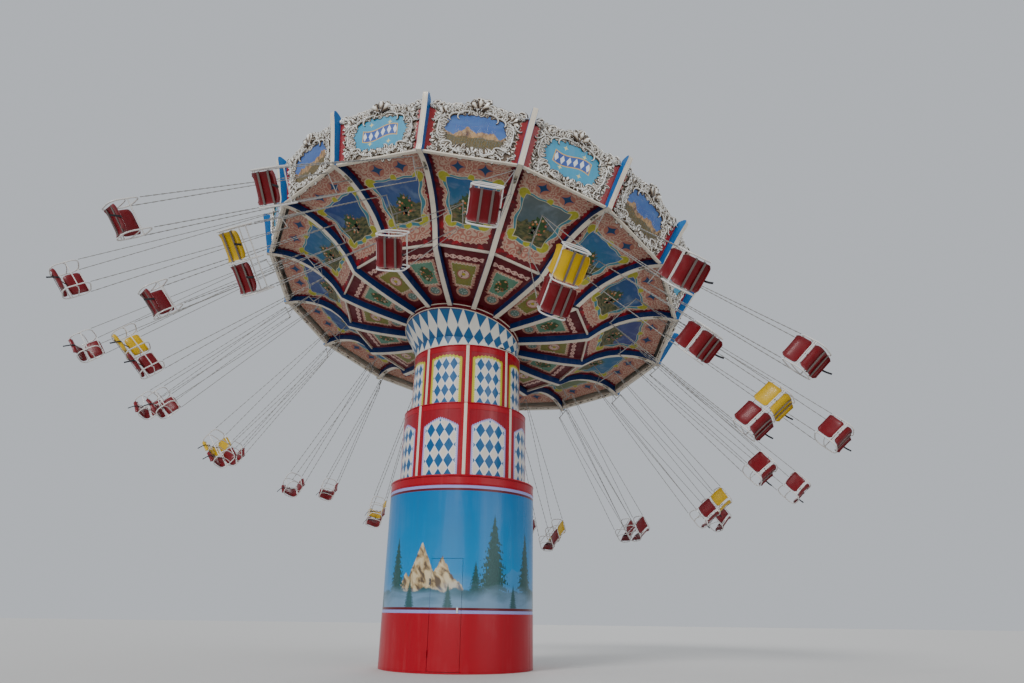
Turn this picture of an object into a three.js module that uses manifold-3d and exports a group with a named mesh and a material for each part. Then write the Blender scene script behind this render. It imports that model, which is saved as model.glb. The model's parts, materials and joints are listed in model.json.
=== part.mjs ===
// Chair swing ride: a painted drum tower that telescopes, a tilting sixteen-bay crown and
// thirty-two gondolas that hang on chains. Millimetres, +Z up, origin under the tower's centre.
import * as THREE from 'three';
import { mergeVertices } from 'three/addons/utils/BufferGeometryUtils.js';
import Module from 'manifold-3d';

const wasm = await Module();
wasm.setup();

const DEG = Math.PI / 180;
const GAP = 0.3;               // clearance between pieces that touch

// Tower
const DRUM_SIDES = 48;
const DRUM_TURN = 3.75;        // a flat side faces each panel post
const BASE_R = 1500;
const BASE_WALL = 54;
const PLINTH_TOP = 990;
const BASE_WALL_TOP = 3290;
const BASE_TOP = 3500;
const MID_R = 1315;
const MID_BOTTOM = 3250;
const MID_WALL_TOP = 4850;
const MID_TOP = 5000;
const UPPER_R = 1175;
const UPPER_BOTTOM = 4600;
const UPPER_WALL_TOP = 6150;
const UPPER_TOP = 6300;
const SKIN = 30;               // wall of the two upper drums
const POST_PROUD = 12;         // the panel posts stand out of the drum by this
const PANELS = 8;
const FLOOR = 25;
// Telescoping tubes on the axis, each sliding in the one before
const MAST = {
  base: { inner: 200 + GAP, outer: 260, low: FLOOR + GAP, high: 1790 },
  middle: { inner: 150 + GAP, outer: 200, low: 1600, high: 4130 },
  upper: { inner: 0, outer: 150, low: 3900, high: 7700 },
};
const MAST_SIDES = 24;
const MIDDLE_SHELF = [3300, 3325];
const UPPER_SHELF = [5400, 5420];
const GUIDE = [4640, 4690];    // ring inside the middle drum that the upper drum slides in

// Door in the base drum, angles from +X
const DOOR_FROM = -110.5;
const DOOR_TO = -87.7;
const DOOR_TOP = 1940;
const DOOR_SILL = 30;
const DOOR_GAP = 0.2;          // degrees on each side
const HINGE_R = 1517;
const HINGE_ANGLE = (DOOR_FROM - 0.3) * DEG;
const HINGE_HEIGHTS = [300, 1500];
const KNUCKLE = 60;
const KNUCKLE_R = 14;
const LATCH_Z = 1045;

// Crown, in its own tilted frame about the pivot
const PIVOT_Z = 7570;
const TILT = 15.6;
const LEAN = 51.3;             // the crown's axis leans toward this angle from +X
const BAYS = 16;
const BAY = 360 / BAYS;
const FIRST_RIB = -147.6;
const RIB_WIDTH = 110;
const RIBS_PER_SECTOR = 2;
const BIG_R = 6000;            // past everything on the crown
const HUB_R = 1300;
const HUB_SIDES = 32;
const TUBE_R = 640;            // tube that the crown turns round
const TUBE_TOP = 130;
const PIN_R = 60;              // level pin that the tube tilts on
const CAP_TOP = -880;          // bearing face between the tilting collar and the turning hub
const CAP_THICK = 25;
// The collar's skirt narrows downward and ends level, just over the upper drum
const SKIRT = { r: 1220, low: -1700, clear: 20 };
const HUB_TOP = 700;
const ROOF_EDGE_Z = 420;

// Underside of a rib from hub to rim, as radius and height
const RIB_UNDERSIDE = [
  [1290, -840], [1950, -778], [2400, -712], [2850, -622], [3150, -345], [3450, -155],
  [3750, -30], [4050, 45], [4280, 72], [4500, 58], [4766, 0],
];
// Top of the rib, which carries the ceiling
const RIB_TOP = [
  [1290, -690], [2400, -562], [2850, -472], [3150, -195], [3450, -5], [3750, 120],
  [4280, 222], [4590, 190],
];
const POST_FRONT = [[4830, 250], [4960, 600], [5150, 990], [5110, 1075]];
const RING_KINK = 2850;        // the ceiling bends here, along a ring of cross bars
const HUB_RING = { inner: HUB_R - 60, outer: HUB_R, low: -870, high: -690.5 };
const CROSS_BARS = { inner: 2800, outer: 2860, low: -600, high: -490 };
const RAIL = { inner: 4650, outer: 4730, low: 5, high: 60 };
const CEILING_EDGE = 4585;
const CEILING_SPLIT = 3600;    // joint between the ceiling's steep course and its flat one
const CEILING_THICK = 12;
const POST_HEAD = 1062;        // height of the post's upper back corner
const FASCIA_FOOT = { r: 4656, z: RAIL.high + GAP };
const FASCIA_HEAD = { r: 5075, z: 1130 };
const FASCIA_THICK = 30;
const FASCIA_SLOPE = (FASCIA_HEAD.r - FASCIA_FOOT.r) / (FASCIA_HEAD.z - FASCIA_FOOT.z);

// Gondolas
const OUTER = {
  r: 4270, z: 95, length: 4471, lag: -10.2, mean: 49.0, wave: 10.8, crest: 46.0, rod: 480,
};
const INNER = {
  r: 3310, z: 0, length: 4403, lag: -7.4, mean: 43.0, wave: 7.2, crest: 3.7, rod: 520,
};
const EYE_R = 28;
const EYE_LENGTH = 50;
const POCKET = 60;
const SINGLE_WIDTH = 470;
const DOUBLE_WIDTH = 960;
const SEAT_DEPTH = 400;
const TUBE = 22;

const paint = (color, roughness, metalness) =>
  new THREE.MeshStandardMaterial({ color, roughness, metalness });
const RED = paint(0xa5101c, 0.4, 0.1);
const BLUE = paint(0x1f7fc4, 0.45, 0.1);
const WHITE = paint(0xe9e4da, 0.4, 0.1);
const LOZENGE = paint(0x5f9fd0, 0.45, 0.1);
const CREAM = paint(0xd8cdb0, 0.5, 0.1);
const PINK = paint(0xc98f86, 0.5, 0.1);
const GREEN = paint(0x9aa766, 0.5, 0.1);
const STEEL = paint(0x6d7176, 0.4, 0.8);
const ROOF = paint(0xb9b4aa, 0.6, 0.1);
const SEAT_RED = paint(0xb3202e, 0.35, 0.1);
const SEAT_YELLOW = paint(0xd9a81a, 0.35, 0.1);

// Solids

function solidOf(geometry) {
  const bare = geometry.clone();
  for (const name of Object.keys(bare.attributes)) {
    if (name !== 'position') bare.deleteAttribute(name);
  }
  const merged = mergeVertices(bare, 0.002);
  const position = merged.attributes.position;
  const index = merged.index.array;
  const triangles = [];
  let volume = 0;
  const a = new THREE.Vector3();
  const b = new THREE.Vector3();
  const c = new THREE.Vector3();
  for (let i = 0; i < index.length; i += 3) {
    const [p, q, r] = [index[i], index[i + 1], index[i + 2]];
    if (p === q || q === r || r === p) continue;
    a.fromBufferAttribute(position, p);
    b.fromBufferAttribute(position, q);
    c.fromBufferAttribute(position, r);
    volume += a.dot(b.cross(c));
    triangles.push(p, q, r);
  }
  if (volume < 0) {
    for (let i = 0; i < triangles.length; i += 3) {
      [triangles[i], triangles[i + 1]] = [triangles[i + 1], triangles[i]];
    }
  }
  return new wasm.Manifold(new wasm.Mesh({
    numProp: 3,
    vertProperties: Float32Array.from(position.array),
    triVerts: Uint32Array.from(triangles),
  }));
}

function geometryOf(solid) {
  const mesh = solid.getMesh();
  const geometry = new THREE.BufferGeometry();
  const points = new Float32Array(mesh.numVert * 3);
  for (let i = 0; i < mesh.numVert; i += 1) {
    points.set(mesh.vertProperties.subarray(i * mesh.numProp, i * mesh.numProp + 3), i * 3);
  }
  geometry.setAttribute('position', new THREE.BufferAttribute(points, 3));
  geometry.setIndex(new THREE.BufferAttribute(Uint32Array.from(mesh.triVerts), 1));
  geometry.computeVertexNormals();
  return geometry;
}

function join(list) {
  return list.map(solidOf).reduce((sum, next) => sum.add(next));
}

function piece(name, solid, material) {
  const shape = solid.isBufferGeometry ? solidOf(solid) : solid;
  const mesh = new THREE.Mesh(geometryOf(shape), material);
  mesh.name = name;
  return mesh;
}

// A closed [radius, height] outline turned about Z; one corner of the polygon lies at `turn`.
function turned(outline, sides, turn) {
  const closed = [...outline, outline[0]].map(([r, z]) => new THREE.Vector2(r, z));
  const start = (turn + 90) * DEG;
  return new THREE.LatheGeometry(closed, sides, start, Math.PI * 2).rotateX(Math.PI / 2);
}

// Part of a ring between two angles, in equal steps
function arcBlock(inner, outer, low, high, from, to, steps) {
  const shape = new THREE.Shape();
  const at = (r, t) => [r * Math.cos(t * DEG), r * Math.sin(t * DEG)];
  for (let i = 0; i <= steps; i += 1) {
    const [x, y] = at(outer, from + ((to - from) * i) / steps);
    if (i === 0) shape.moveTo(x, y);
    else shape.lineTo(x, y);
  }
  for (let i = steps; i >= 0; i -= 1) {
    shape.lineTo(...at(inner, from + ((to - from) * i) / steps));
  }
  shape.closePath();
  return new THREE.ExtrudeGeometry(shape, { depth: high - low, bevelEnabled: false })
    .translate(0, 0, low);
}

// A flat outline in the radius and height plane, given a width and set at an angle round Z
function fin(outline, width, angle) {
  const shape = new THREE.Shape(outline.map(([r, z]) => new THREE.Vector2(r, z)));
  return new THREE.ExtrudeGeometry(shape, { depth: width, bevelEnabled: false })
    .rotateX(Math.PI / 2)
    .translate(0, width / 2, 0)
    .rotateZ(angle * DEG);
}

function block(x0, x1, y0, y1, z0, z1) {
  return new THREE.BoxGeometry(x1 - x0, y1 - y0, z1 - z0)
    .translate((x0 + x1) / 2, (y0 + y1) / 2, (z0 + z1) / 2);
}

function rod(from, to, size, sides) {
  const a = new THREE.Vector3(...from);
  const b = new THREE.Vector3(...to);
  const direction = b.clone().sub(a);
  const turn = new THREE.Quaternion().setFromUnitVectors(
    new THREE.Vector3(0, 1, 0), direction.clone().normalize());
  const middle = a.add(b).multiplyScalar(0.5);
  return new THREE.CylinderGeometry(size, size, direction.length(), sides)
    .applyQuaternion(turn)
    .translate(middle.x, middle.y, middle.z);
}

// Tower

const ride = new THREE.Group();

function drumRing(inner, outer, low, high) {
  return turned([[inner, low], [outer, low], [outer, high], [inner, high]], DRUM_SIDES, DRUM_TURN);
}

function knuckle(z) {
  return new THREE.CylinderGeometry(KNUCKLE_R, KNUCKLE_R, KNUCKLE, 12)
    .rotateX(Math.PI / 2)
    .translate(HINGE_R, 0, z)
    .rotateZ(HINGE_ANGLE);
}

function buildBase() {
  const group = new THREE.Group();
  const inner = BASE_R - BASE_WALL - 6;
  const doorway = solidOf(
    arcBlock(inner - 60, BASE_R + 60, DOOR_SILL, DOOR_TOP, DOOR_FROM, DOOR_TO, 4));
  const hingeLeaf = (z) => join([
    knuckle(z),
    block(BASE_R - 30, HINGE_R, -12, 5, z - KNUCKLE / 2, z + KNUCKLE / 2).rotateZ(HINGE_ANGLE),
  ]);
  const plinth = solidOf(drumRing(inner, BASE_R, 0, PLINTH_TOP))
    .subtract(doorway)
    .add(hingeLeaf(HINGE_HEIGHTS[0]));
  const wall = solidOf(drumRing(inner, BASE_R - 6, PLINTH_TOP + GAP, BASE_WALL_TOP))
    .subtract(doorway)
    .add(hingeLeaf(HINGE_HEIGHTS[1]));
  group.add(piece('base_floor', turned([[0, 0], [inner - GAP, 0], [inner - GAP, FLOOR], [0, FLOOR]],
    DRUM_SIDES, DRUM_TURN), STEEL));
  group.add(piece('base_plinth', plinth, RED));
  group.add(piece('base_wall', wall, BLUE));
  group.add(piece('base_top_band',
    drumRing(MID_R + POST_PROUD + GAP, BASE_R, BASE_WALL_TOP + GAP, BASE_TOP), RED));
  group.add(piece('base_mast', sleeve(MAST.base), STEEL));
  return group;
}

function buildDoor() {
  const inner = BASE_R - BASE_WALL;
  const leaf = arcBlock(inner, BASE_R - 5, DOOR_SILL + 5, DOOR_TOP - 5,
    DOOR_FROM + DOOR_GAP, DOOR_TO - DOOR_GAP, 4);
  const parts = [leaf];
  for (const height of HINGE_HEIGHTS) {
    const z = height + KNUCKLE + GAP;
    parts.push(
      knuckle(z),
      block(HINGE_R - 5, HINGE_R + 5, 0, 60, z - 25, z + 25).rotateZ(HINGE_ANGLE),
      block(BASE_R - 25, HINGE_R + 5, 36, 60, z - 25, z + 25).rotateZ(HINGE_ANGLE));
  }
  parts.push(block(BASE_R - 25, BASE_R + 18, -16, 16, LATCH_Z - 45, LATCH_Z + 45)
    .rotateZ((DOOR_TO - 3) * DEG));
  return piece('base_door', join(parts), RED);
}

function sleeve({ inner, outer, low, high }) {
  return turned([[inner, low], [outer, low], [outer, high], [inner, high]], MAST_SIDES, 0);
}

// A low ring and a band on top of the drum's wall, joined by the eight panel posts
function panelFrame(radius, low, wallTop, top) {
  const inner = radius + GAP;
  const outer = radius + POST_PROUD;
  const parts = [
    drumRing(inner, outer, low, low + 60),
    turned([[inner, wallTop - 60], [outer, wallTop - 60], [outer, top], [radius - SKIN, top],
      [radius - SKIN, wallTop + GAP], [inner, wallTop + GAP]], DRUM_SIDES, DRUM_TURN),
  ];
  for (let i = 0; i < PANELS; i += 1) {
    const angle = -90 + (i * 360) / PANELS;
    parts.push(arcBlock(inner, outer, low + 10, wallTop - 10, angle - DRUM_TURN, angle + DRUM_TURN, 1));
  }
  return join(parts);
}

function buildMiddle() {
  const group = new THREE.Group();
  const inner = MID_R - SKIN;
  const guide = UPPER_R + POST_PROUD + GAP;
  group.add(piece('middle_wall', turned([[inner, MID_BOTTOM], [MID_R, MID_BOTTOM],
    [MID_R, MID_WALL_TOP], [inner, MID_WALL_TOP], [inner, GUIDE[1]], [guide, GUIDE[1]],
    [guide, GUIDE[0]], [inner, GUIDE[0]]], DRUM_SIDES, DRUM_TURN), LOZENGE));
  group.add(piece('middle_frame', panelFrame(MID_R, MID_BOTTOM, MID_WALL_TOP, MID_TOP), RED));
  const plate = drumRing(MAST.middle.outer - 20, inner - GAP, ...MIDDLE_SHELF);
  group.add(piece('middle_mast', join([sleeve(MAST.middle), plate]), STEEL));
  return group;
}

const crownAxis = new THREE.Vector3(
  Math.sin(TILT * DEG) * Math.cos(LEAN * DEG),
  Math.sin(TILT * DEG) * Math.sin(LEAN * DEG),
  Math.cos(TILT * DEG));

function buildUpper() {
  const group = new THREE.Group();
  const inner = UPPER_R - SKIN;
  group.add(piece('upper_wall', drumRing(inner, UPPER_R, UPPER_BOTTOM, UPPER_WALL_TOP), LOZENGE));
  group.add(piece('upper_frame', panelFrame(UPPER_R, UPPER_BOTTOM, UPPER_WALL_TOP, UPPER_TOP), RED));
  const { outer, low, high } = MAST.upper;
  const mast = turned([[0, low], [outer, low], [outer, high], [0, high]], MAST_SIDES, 0);
  const plate = drumRing(outer - 20, inner - GAP, ...UPPER_SHELF);
  const pin = new THREE.CylinderGeometry(PIN_R, PIN_R, 2 * (TUBE_R - 3), MAST_SIDES)
    .rotateZ(LEAN * DEG)
    .translate(0, 0, PIVOT_Z);
  group.add(piece('upper_mast', join([mast, plate, pin]), STEEL));
  return group;
}

// Crown

const crownFrame = new THREE.Group();
const crownX = new THREE.Vector3(1, 0, 0).addScaledVector(crownAxis, -crownAxis.x).normalize();
const crownY = crownAxis.clone().cross(crownX);
crownFrame.applyMatrix4(new THREE.Matrix4().makeBasis(crownX, crownY, crownAxis)
  .setPosition(0, 0, PIVOT_Z));
crownFrame.updateMatrixWorld(true);

function lineAt(points, r) {
  for (let i = 1; i < points.length; i += 1) {
    const [r0, z0] = points[i - 1];
    const [r1, z1] = points[i];
    if (r <= r1) return z0 + ((z1 - z0) * (r - r0)) / (r1 - r0);
  }
  return points[points.length - 1][1];
}

function fasciaRadius(z) {
  return FASCIA_FOOT.r + (z - FASCIA_FOOT.z) * FASCIA_SLOPE;
}

function ribOutline() {
  return [
    ...RIB_UNDERSIDE,
    ...POST_FRONT,
    [fasciaRadius(POST_HEAD) + 1.5, POST_HEAD],
    [fasciaRadius(RAIL.high) + 1.5, RAIL.high],
    [4590, RAIL.high],
    ...RIB_TOP.toReversed(),
  ];
}

function ribAngle(index) {
  return FIRST_RIB + index * BAY;
}

function ringOutline({ inner, outer, low, high }) {
  return [[inner, low], [outer, low], [outer, high], [inner, high]];
}

// The ribs with their rings, cut at mid-bay into sectors of two ribs that are bolted together
function buildCrownCage() {
  const rings = [
    turned(ringOutline(HUB_RING), HUB_SIDES, FIRST_RIB),
    turned(ringOutline(RAIL), BAYS, FIRST_RIB),
    turned(ringOutline(CROSS_BARS), BAYS, FIRST_RIB),
  ];
  const numbers = Array.from({ length: BAYS }, (_, i) => i);
  let cage = join([...rings, ...numbers.map((i) => fin(ribOutline(), RIB_WIDTH, ribAngle(i)))]);
  for (const i of numbers) {
    cage = cage.subtract(solidOf(eyePocket(OUTER).rotateZ(ribAngle(i) * DEG)));
  }
  const [reach, tall] = [BIG_R, FASCIA_HEAD.z];
  for (let i = 0; i < BAYS; i += RIBS_PER_SECTOR) {
    const seam = block(0, reach, -GAP / 2, GAP / 2, -tall, tall);
    cage = cage.subtract(solidOf(seam.rotateZ((ribAngle(i) - BAY / 2) * DEG)));
  }
  return numbers.filter((i) => i % RIBS_PER_SECTOR === 0).map((i) => {
    const wedge = arcBlock(1, reach, -tall, tall, ribAngle(i) - BAY / 2,
      ribAngle(i + RIBS_PER_SECTOR) - BAY / 2, RIBS_PER_SECTOR);
    return piece(`cage_sector_${1 + i / RIBS_PER_SECTOR}`, cage.intersect(solidOf(wedge)), WHITE);
  });
}

// Slot that a gondola's eye turns in, open below
function eyePocket({ r, z }) {
  return block(r - 55, r + 155, -POCKET / 2, POCKET / 2, z - 180, z + EYE_R + GAP);
}

// The ceiling lies on the ribs; where it slopes down to the rim it clears their edges
function ceilingHeight(r) {
  return lineAt(RIB_TOP, r) + (r > 4100 ? 3 : GAP);
}

function ceilingOutline(from, to) {
  const bends = RIB_TOP.map(([r]) => r).filter((r) => r > from + 5 && r < to - 5);
  const radii = [from, ...bends, to];
  const under = radii.map((r) => [r, ceilingHeight(r)]);
  const over = radii.map((r) => [r, ceilingHeight(r) + CEILING_THICK]).reverse();
  return [...under, ...over];
}

// Box above the ceiling, between two ribs, that holds an inner gondola's eye
function eyeHousing() {
  const corner = (r) => [r, ceilingHeight(r / Math.cos((BAY / 2) * DEG)) + 4];
  const top = INNER.z + 75;
  const [near, far] = [INNER.r - 85, INNER.r + 190];
  return fin([corner(near), corner(far), [far, top], [near, top]], POCKET + 40, 0);
}

function buildCeilings() {
  const course = (from, to) => turned(ceilingOutline(from, to), BAYS, FIRST_RIB);
  let middle = solidOf(course(RING_KINK + GAP / 2, CEILING_SPLIT - GAP / 2));
  for (let i = 0; i < BAYS; i += 1) {
    const angle = (ribAngle(i) + BAY / 2) * DEG;
    middle = middle.add(solidOf(eyeHousing().rotateZ(angle)))
      .subtract(solidOf(eyePocket(INNER).rotateZ(angle)));
  }
  return [
    piece('ceiling_inner', course(HUB_R - 8, RING_KINK - GAP / 2), GREEN),
    piece('ceiling_middle', middle, PINK),
    piece('ceiling_outer', course(CEILING_SPLIT + GAP / 2, CEILING_EDGE), PINK),
  ];
}

// The fascia's upper edge over half a bay: fraction of the bay's half width, and height
const CREST = [[0, 1120], [0.14, 1075], [0.22, 1000], [0.42, 975], [0.58, 895], [1.1, 830]];

function buildFascia() {
  const { r, z } = FASCIA_FOOT;
  let ring = solidOf(turned([[r - FASCIA_THICK, z], [r, z], [FASCIA_HEAD.r, FASCIA_HEAD.z],
    [FASCIA_HEAD.r - FASCIA_THICK, FASCIA_HEAD.z]], BAYS, FIRST_RIB));
  const half = FASCIA_HEAD.r * Math.sin((BAY / 2) * DEG);
  const edge = [
    ...CREST.map(([u, v]) => new THREE.Vector2(-u * half, v)).reverse(),
    ...CREST.slice(1).map(([u, v]) => new THREE.Vector2(u * half, v)),
    new THREE.Vector2(1.1 * half, 1400),
    new THREE.Vector2(-1.1 * half, 1400),
  ];
  for (let i = 0; i < BAYS; i += 1) {
    const cutter = new THREE.ExtrudeGeometry(new THREE.Shape(edge), { depth: 500, bevelEnabled: false })
      .rotateX(Math.PI / 2)
      .rotateZ(Math.PI / 2)
      .translate(4600, 0, 0)
      .rotateZ((ribAngle(i) + BAY / 2) * DEG);
    ring = ring.subtract(solidOf(cutter));
  }
  return piece('fascia_ring', ring, CREAM);
}

function buildRoof() {
  const edge = fasciaRadius(ROOF_EDGE_Z) - FASCIA_THICK - GAP;
  const outline = [[0, HUB_TOP + GAP], [760, HUB_TOP + GAP], [edge, ROOF_EDGE_Z], [edge, ROOF_EDGE_Z + 25],
    [760, HUB_TOP + 30], [0, HUB_TOP + 30]];
  return piece('crown_roof', turned(outline, BAYS, FIRST_RIB), ROOF);
}

function buildHub() {
  const bore = TUBE_R + 5;
  const neck = bore + 45;
  const disc = HUB_RING.inner - GAP;
  const outline = [[bore, CAP_TOP + GAP], [disc, CAP_TOP + GAP], [disc, CAP_TOP + 60],
    [neck, CAP_TOP + 60], [neck, HUB_TOP], [bore, HUB_TOP]];
  return piece('crown_hub', turned(outline, HUB_SIDES, FIRST_RIB), RED);
}

function buildTiltHead() {
  const group = new THREE.Group();
  const toCrown = crownFrame.matrixWorld.clone().invert();
  const hinge = new THREE.Vector3(-Math.sin(LEAN * DEG), Math.cos(LEAN * DEG), 0)
    .transformDirection(toCrown);
  const bore = new THREE.CylinderGeometry(PIN_R + 1, PIN_R + 1, 2 * TUBE_R + 100, MAST_SIDES)
    .rotateZ(Math.atan2(hinge.y, hinge.x) - Math.PI / 2);
  const capLow = CAP_TOP - CAP_THICK;
  const flange = { outer: TUBE_R + 60, high: capLow - GAP, low: capLow - GAP - 25 };
  const tube = turned([[TUBE_R - 40, flange.low - 70], [TUBE_R, flange.low - 70], [TUBE_R, flange.low],
    [flange.outer, flange.low], [flange.outer, flange.high], [TUBE_R, flange.high],
    [TUBE_R, TUBE_TOP], [TUBE_R - 40, TUBE_TOP]], HUB_SIDES, FIRST_RIB);
  group.add(piece('tilt_tube', solidOf(tube).subtract(solidOf(bore)), STEEL));
  const skirt = turned([[TUBE_R + GAP, capLow], [HUB_R - 21, capLow], [SKIRT.r - 15, SKIRT.low],
    [SKIRT.r, SKIRT.low], [HUB_R - 1, CAP_TOP], [TUBE_R + GAP, CAP_TOP]], HUB_SIDES, FIRST_RIB);
  const below = block(-3000, 3000, -3000, 3000, UPPER_TOP - 1500, UPPER_TOP + SKIRT.clear)
    .applyMatrix4(toCrown);
  group.add(piece('collar', solidOf(skirt).subtract(solidOf(below)), LOZENGE));
  return group;
}

// Gondolas

// Local frame: origin at the eye, +Z up the chains, +Y the way the riders face, +X outward
function gondolaSolid(length, swing, seats, rodLength) {
  const width = seats === 2 ? DOUBLE_WIDTH : SINGLE_WIDTH;
  const half = width / 2;
  const barHalf = seats === 2 ? 380 : 210;
  const depth = SEAT_DEPTH / 2;
  const top = -length + 230;
  const bottom = -length - 215;
  const bar = barHalf + 15;
  const hanger = new THREE.Shape([
    new THREE.Vector2(-13, 0), new THREE.Vector2(-13, 18 - rodLength),
    new THREE.Vector2(-bar, 18 - rodLength), new THREE.Vector2(-bar, -18 - rodLength),
    new THREE.Vector2(bar, -18 - rodLength), new THREE.Vector2(bar, 18 - rodLength),
    new THREE.Vector2(13, 18 - rodLength), new THREE.Vector2(13, 0)]);
  const parts = [
    new THREE.CylinderGeometry(EYE_R, EYE_R, EYE_LENGTH, 6).rotateY(swing * DEG),
    new THREE.ExtrudeGeometry(hanger, { depth: 26, bevelEnabled: false })
      .rotateX(Math.PI / 2)
      .translate(0, 13, 0),
  ];
  for (const x of [-1, 1]) {
    for (const y of [-1, 1]) {
      parts.push(rod([x * barHalf, y * 4, -rodLength], [x * half, y * (depth - 10), top], 9, 3));
    }
    const hoop = new THREE.Shape([
      new THREE.Vector2(-depth, bottom), new THREE.Vector2(depth, bottom),
      new THREE.Vector2(depth, top), new THREE.Vector2(-depth, top)]);
    hoop.holes.push(new THREE.Path([
      new THREE.Vector2(-depth + TUBE, bottom + TUBE), new THREE.Vector2(-depth + TUBE, top - TUBE),
      new THREE.Vector2(depth - TUBE, top - TUBE), new THREE.Vector2(depth - TUBE, bottom + TUBE)]));
    parts.push(new THREE.ExtrudeGeometry(hoop, { depth: TUBE, bevelEnabled: false })
      .rotateY(Math.PI / 2).rotateX(Math.PI / 2)
      .translate(x * half - TUBE / 2, 0, 0));
  }
  const seat = new THREE.Shape([
    new THREE.Vector2(depth - 6, bottom + 8), new THREE.Vector2(depth - 6, bottom + 34),
    new THREE.Vector2(-depth + 34, bottom + 34), new THREE.Vector2(-depth + 34, top - 50),
    new THREE.Vector2(-depth + 8, top - 50), new THREE.Vector2(-depth + 8, bottom + 8)]);
  parts.push(new THREE.ExtrudeGeometry(seat, { depth: width, bevelEnabled: false })
    .rotateY(Math.PI / 2).rotateX(Math.PI / 2)
    .translate(-half, 0, 0));
  parts.push(block(-half, half, depth - TUBE, depth, -length + 20, -length + 42));
  return join(parts);
}

function swingAngle(ring, index) {
  return ring.mean - ring.wave * Math.cos((index * BAY - ring.crest) * DEG);
}

function buildGondola(ring, index, turn, seats, name) {
  const azimuth = (ribAngle(index) + turn) * DEG;
  const swing = swingAngle(ring, index);
  const lag = ring.lag * DEG;
  const up = new THREE.Vector3(0, 0, 1);
  const along = new THREE.Vector3(Math.cos(azimuth + lag), Math.sin(azimuth + lag), 0);
  const facing = up.clone().cross(along);
  const chain = along.clone().multiplyScalar(-Math.sin(swing * DEG))
    .addScaledVector(up, Math.cos(swing * DEG));
  const outward = facing.clone().cross(chain);
  const mesh = piece(name, gondolaSolid(ring.length, swing, seats, ring.rod),
    seats === 2 ? SEAT_YELLOW : SEAT_RED);
  mesh.applyMatrix4(new THREE.Matrix4().makeBasis(outward, facing, chain)
    .setPosition(ring.r * Math.cos(azimuth), ring.r * Math.sin(azimuth), ring.z));
  return mesh;
}

function buildGondolas() {
  const group = new THREE.Group();
  for (let i = 0; i < BAYS; i += 1) {
    const number = String(i + 1).padStart(2, '0');
    group.add(buildGondola(OUTER, i, 0, 1, `gondola_outer_${number}`));
    group.add(buildGondola(INNER, i, BAY / 2, i % 2 === 1 ? 2 : 1, `gondola_inner_${number}`));
  }
  return group;
}

ride.add(buildBase(), buildDoor(), buildMiddle(), buildUpper());
crownFrame.add(buildTiltHead(), buildHub(), ...buildCrownCage(), ...buildCeilings(), buildFascia(),
  buildRoof(), buildGondolas());
ride.add(crownFrame);

export default ride;
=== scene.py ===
"""Dresses a chair swing ride: a painted telescoping tower, its leaning crown and the gondolas."""

import json
import logging
import math
from dataclasses import dataclass, field
from enum import Enum
from typing import Any, Sequence, Union

import bmesh
import bpy
import numpy as np
from mathutils import Matrix, Vector


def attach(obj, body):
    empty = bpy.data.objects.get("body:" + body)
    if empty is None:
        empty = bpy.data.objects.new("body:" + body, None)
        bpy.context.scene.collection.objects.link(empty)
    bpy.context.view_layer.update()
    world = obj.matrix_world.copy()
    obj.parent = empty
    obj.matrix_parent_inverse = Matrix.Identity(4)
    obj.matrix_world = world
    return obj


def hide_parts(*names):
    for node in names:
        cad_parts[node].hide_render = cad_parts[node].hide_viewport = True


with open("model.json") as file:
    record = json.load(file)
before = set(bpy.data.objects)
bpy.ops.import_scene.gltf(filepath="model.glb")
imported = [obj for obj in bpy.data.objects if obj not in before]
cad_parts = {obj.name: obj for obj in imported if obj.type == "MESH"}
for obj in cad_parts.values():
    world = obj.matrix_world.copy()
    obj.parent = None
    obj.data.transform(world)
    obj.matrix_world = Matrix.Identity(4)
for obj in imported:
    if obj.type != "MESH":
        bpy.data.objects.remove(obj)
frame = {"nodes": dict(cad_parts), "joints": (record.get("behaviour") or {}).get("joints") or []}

LOG = logging.getLogger("ride")
Array = np.ndarray
Colour = tuple[float, float, float]
Spot = tuple[float, float, float]
Knots = tuple[tuple[float, float], ...]
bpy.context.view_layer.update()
BAYS = 16
HALF_BAY = math.pi / BAYS
SIN_BAY = math.sin(HALF_BAY)
COS_BAY = math.cos(HALF_BAY)
FULL_TURN = 2 * math.pi    # in radians
RIB_HALF = 0.055    # half a rib's thickness in metres
# The relief's Mark is painted light: shade in its hollows, highlight on its crests; the flat backs take a
# middle tone.
BACK_TONE = 0.64    # Mark value of the relief's flat backs
MERGE = 2e-5    # points nearer than this, in metres, become one

RED: Colour = (0.32, 0.0002, 0.009)
DEEP_RED: Colour = (0.1, 0.0012, 0.006)
LILAC: Colour = (0.26, 0.27, 0.56)
WHITE: Colour = (0.8, 0.8, 0.78)
CREAM: Colour = (0.6, 0.52, 0.4)
OCHRE: Colour = (0.36, 0.32, 0.02)


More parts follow.
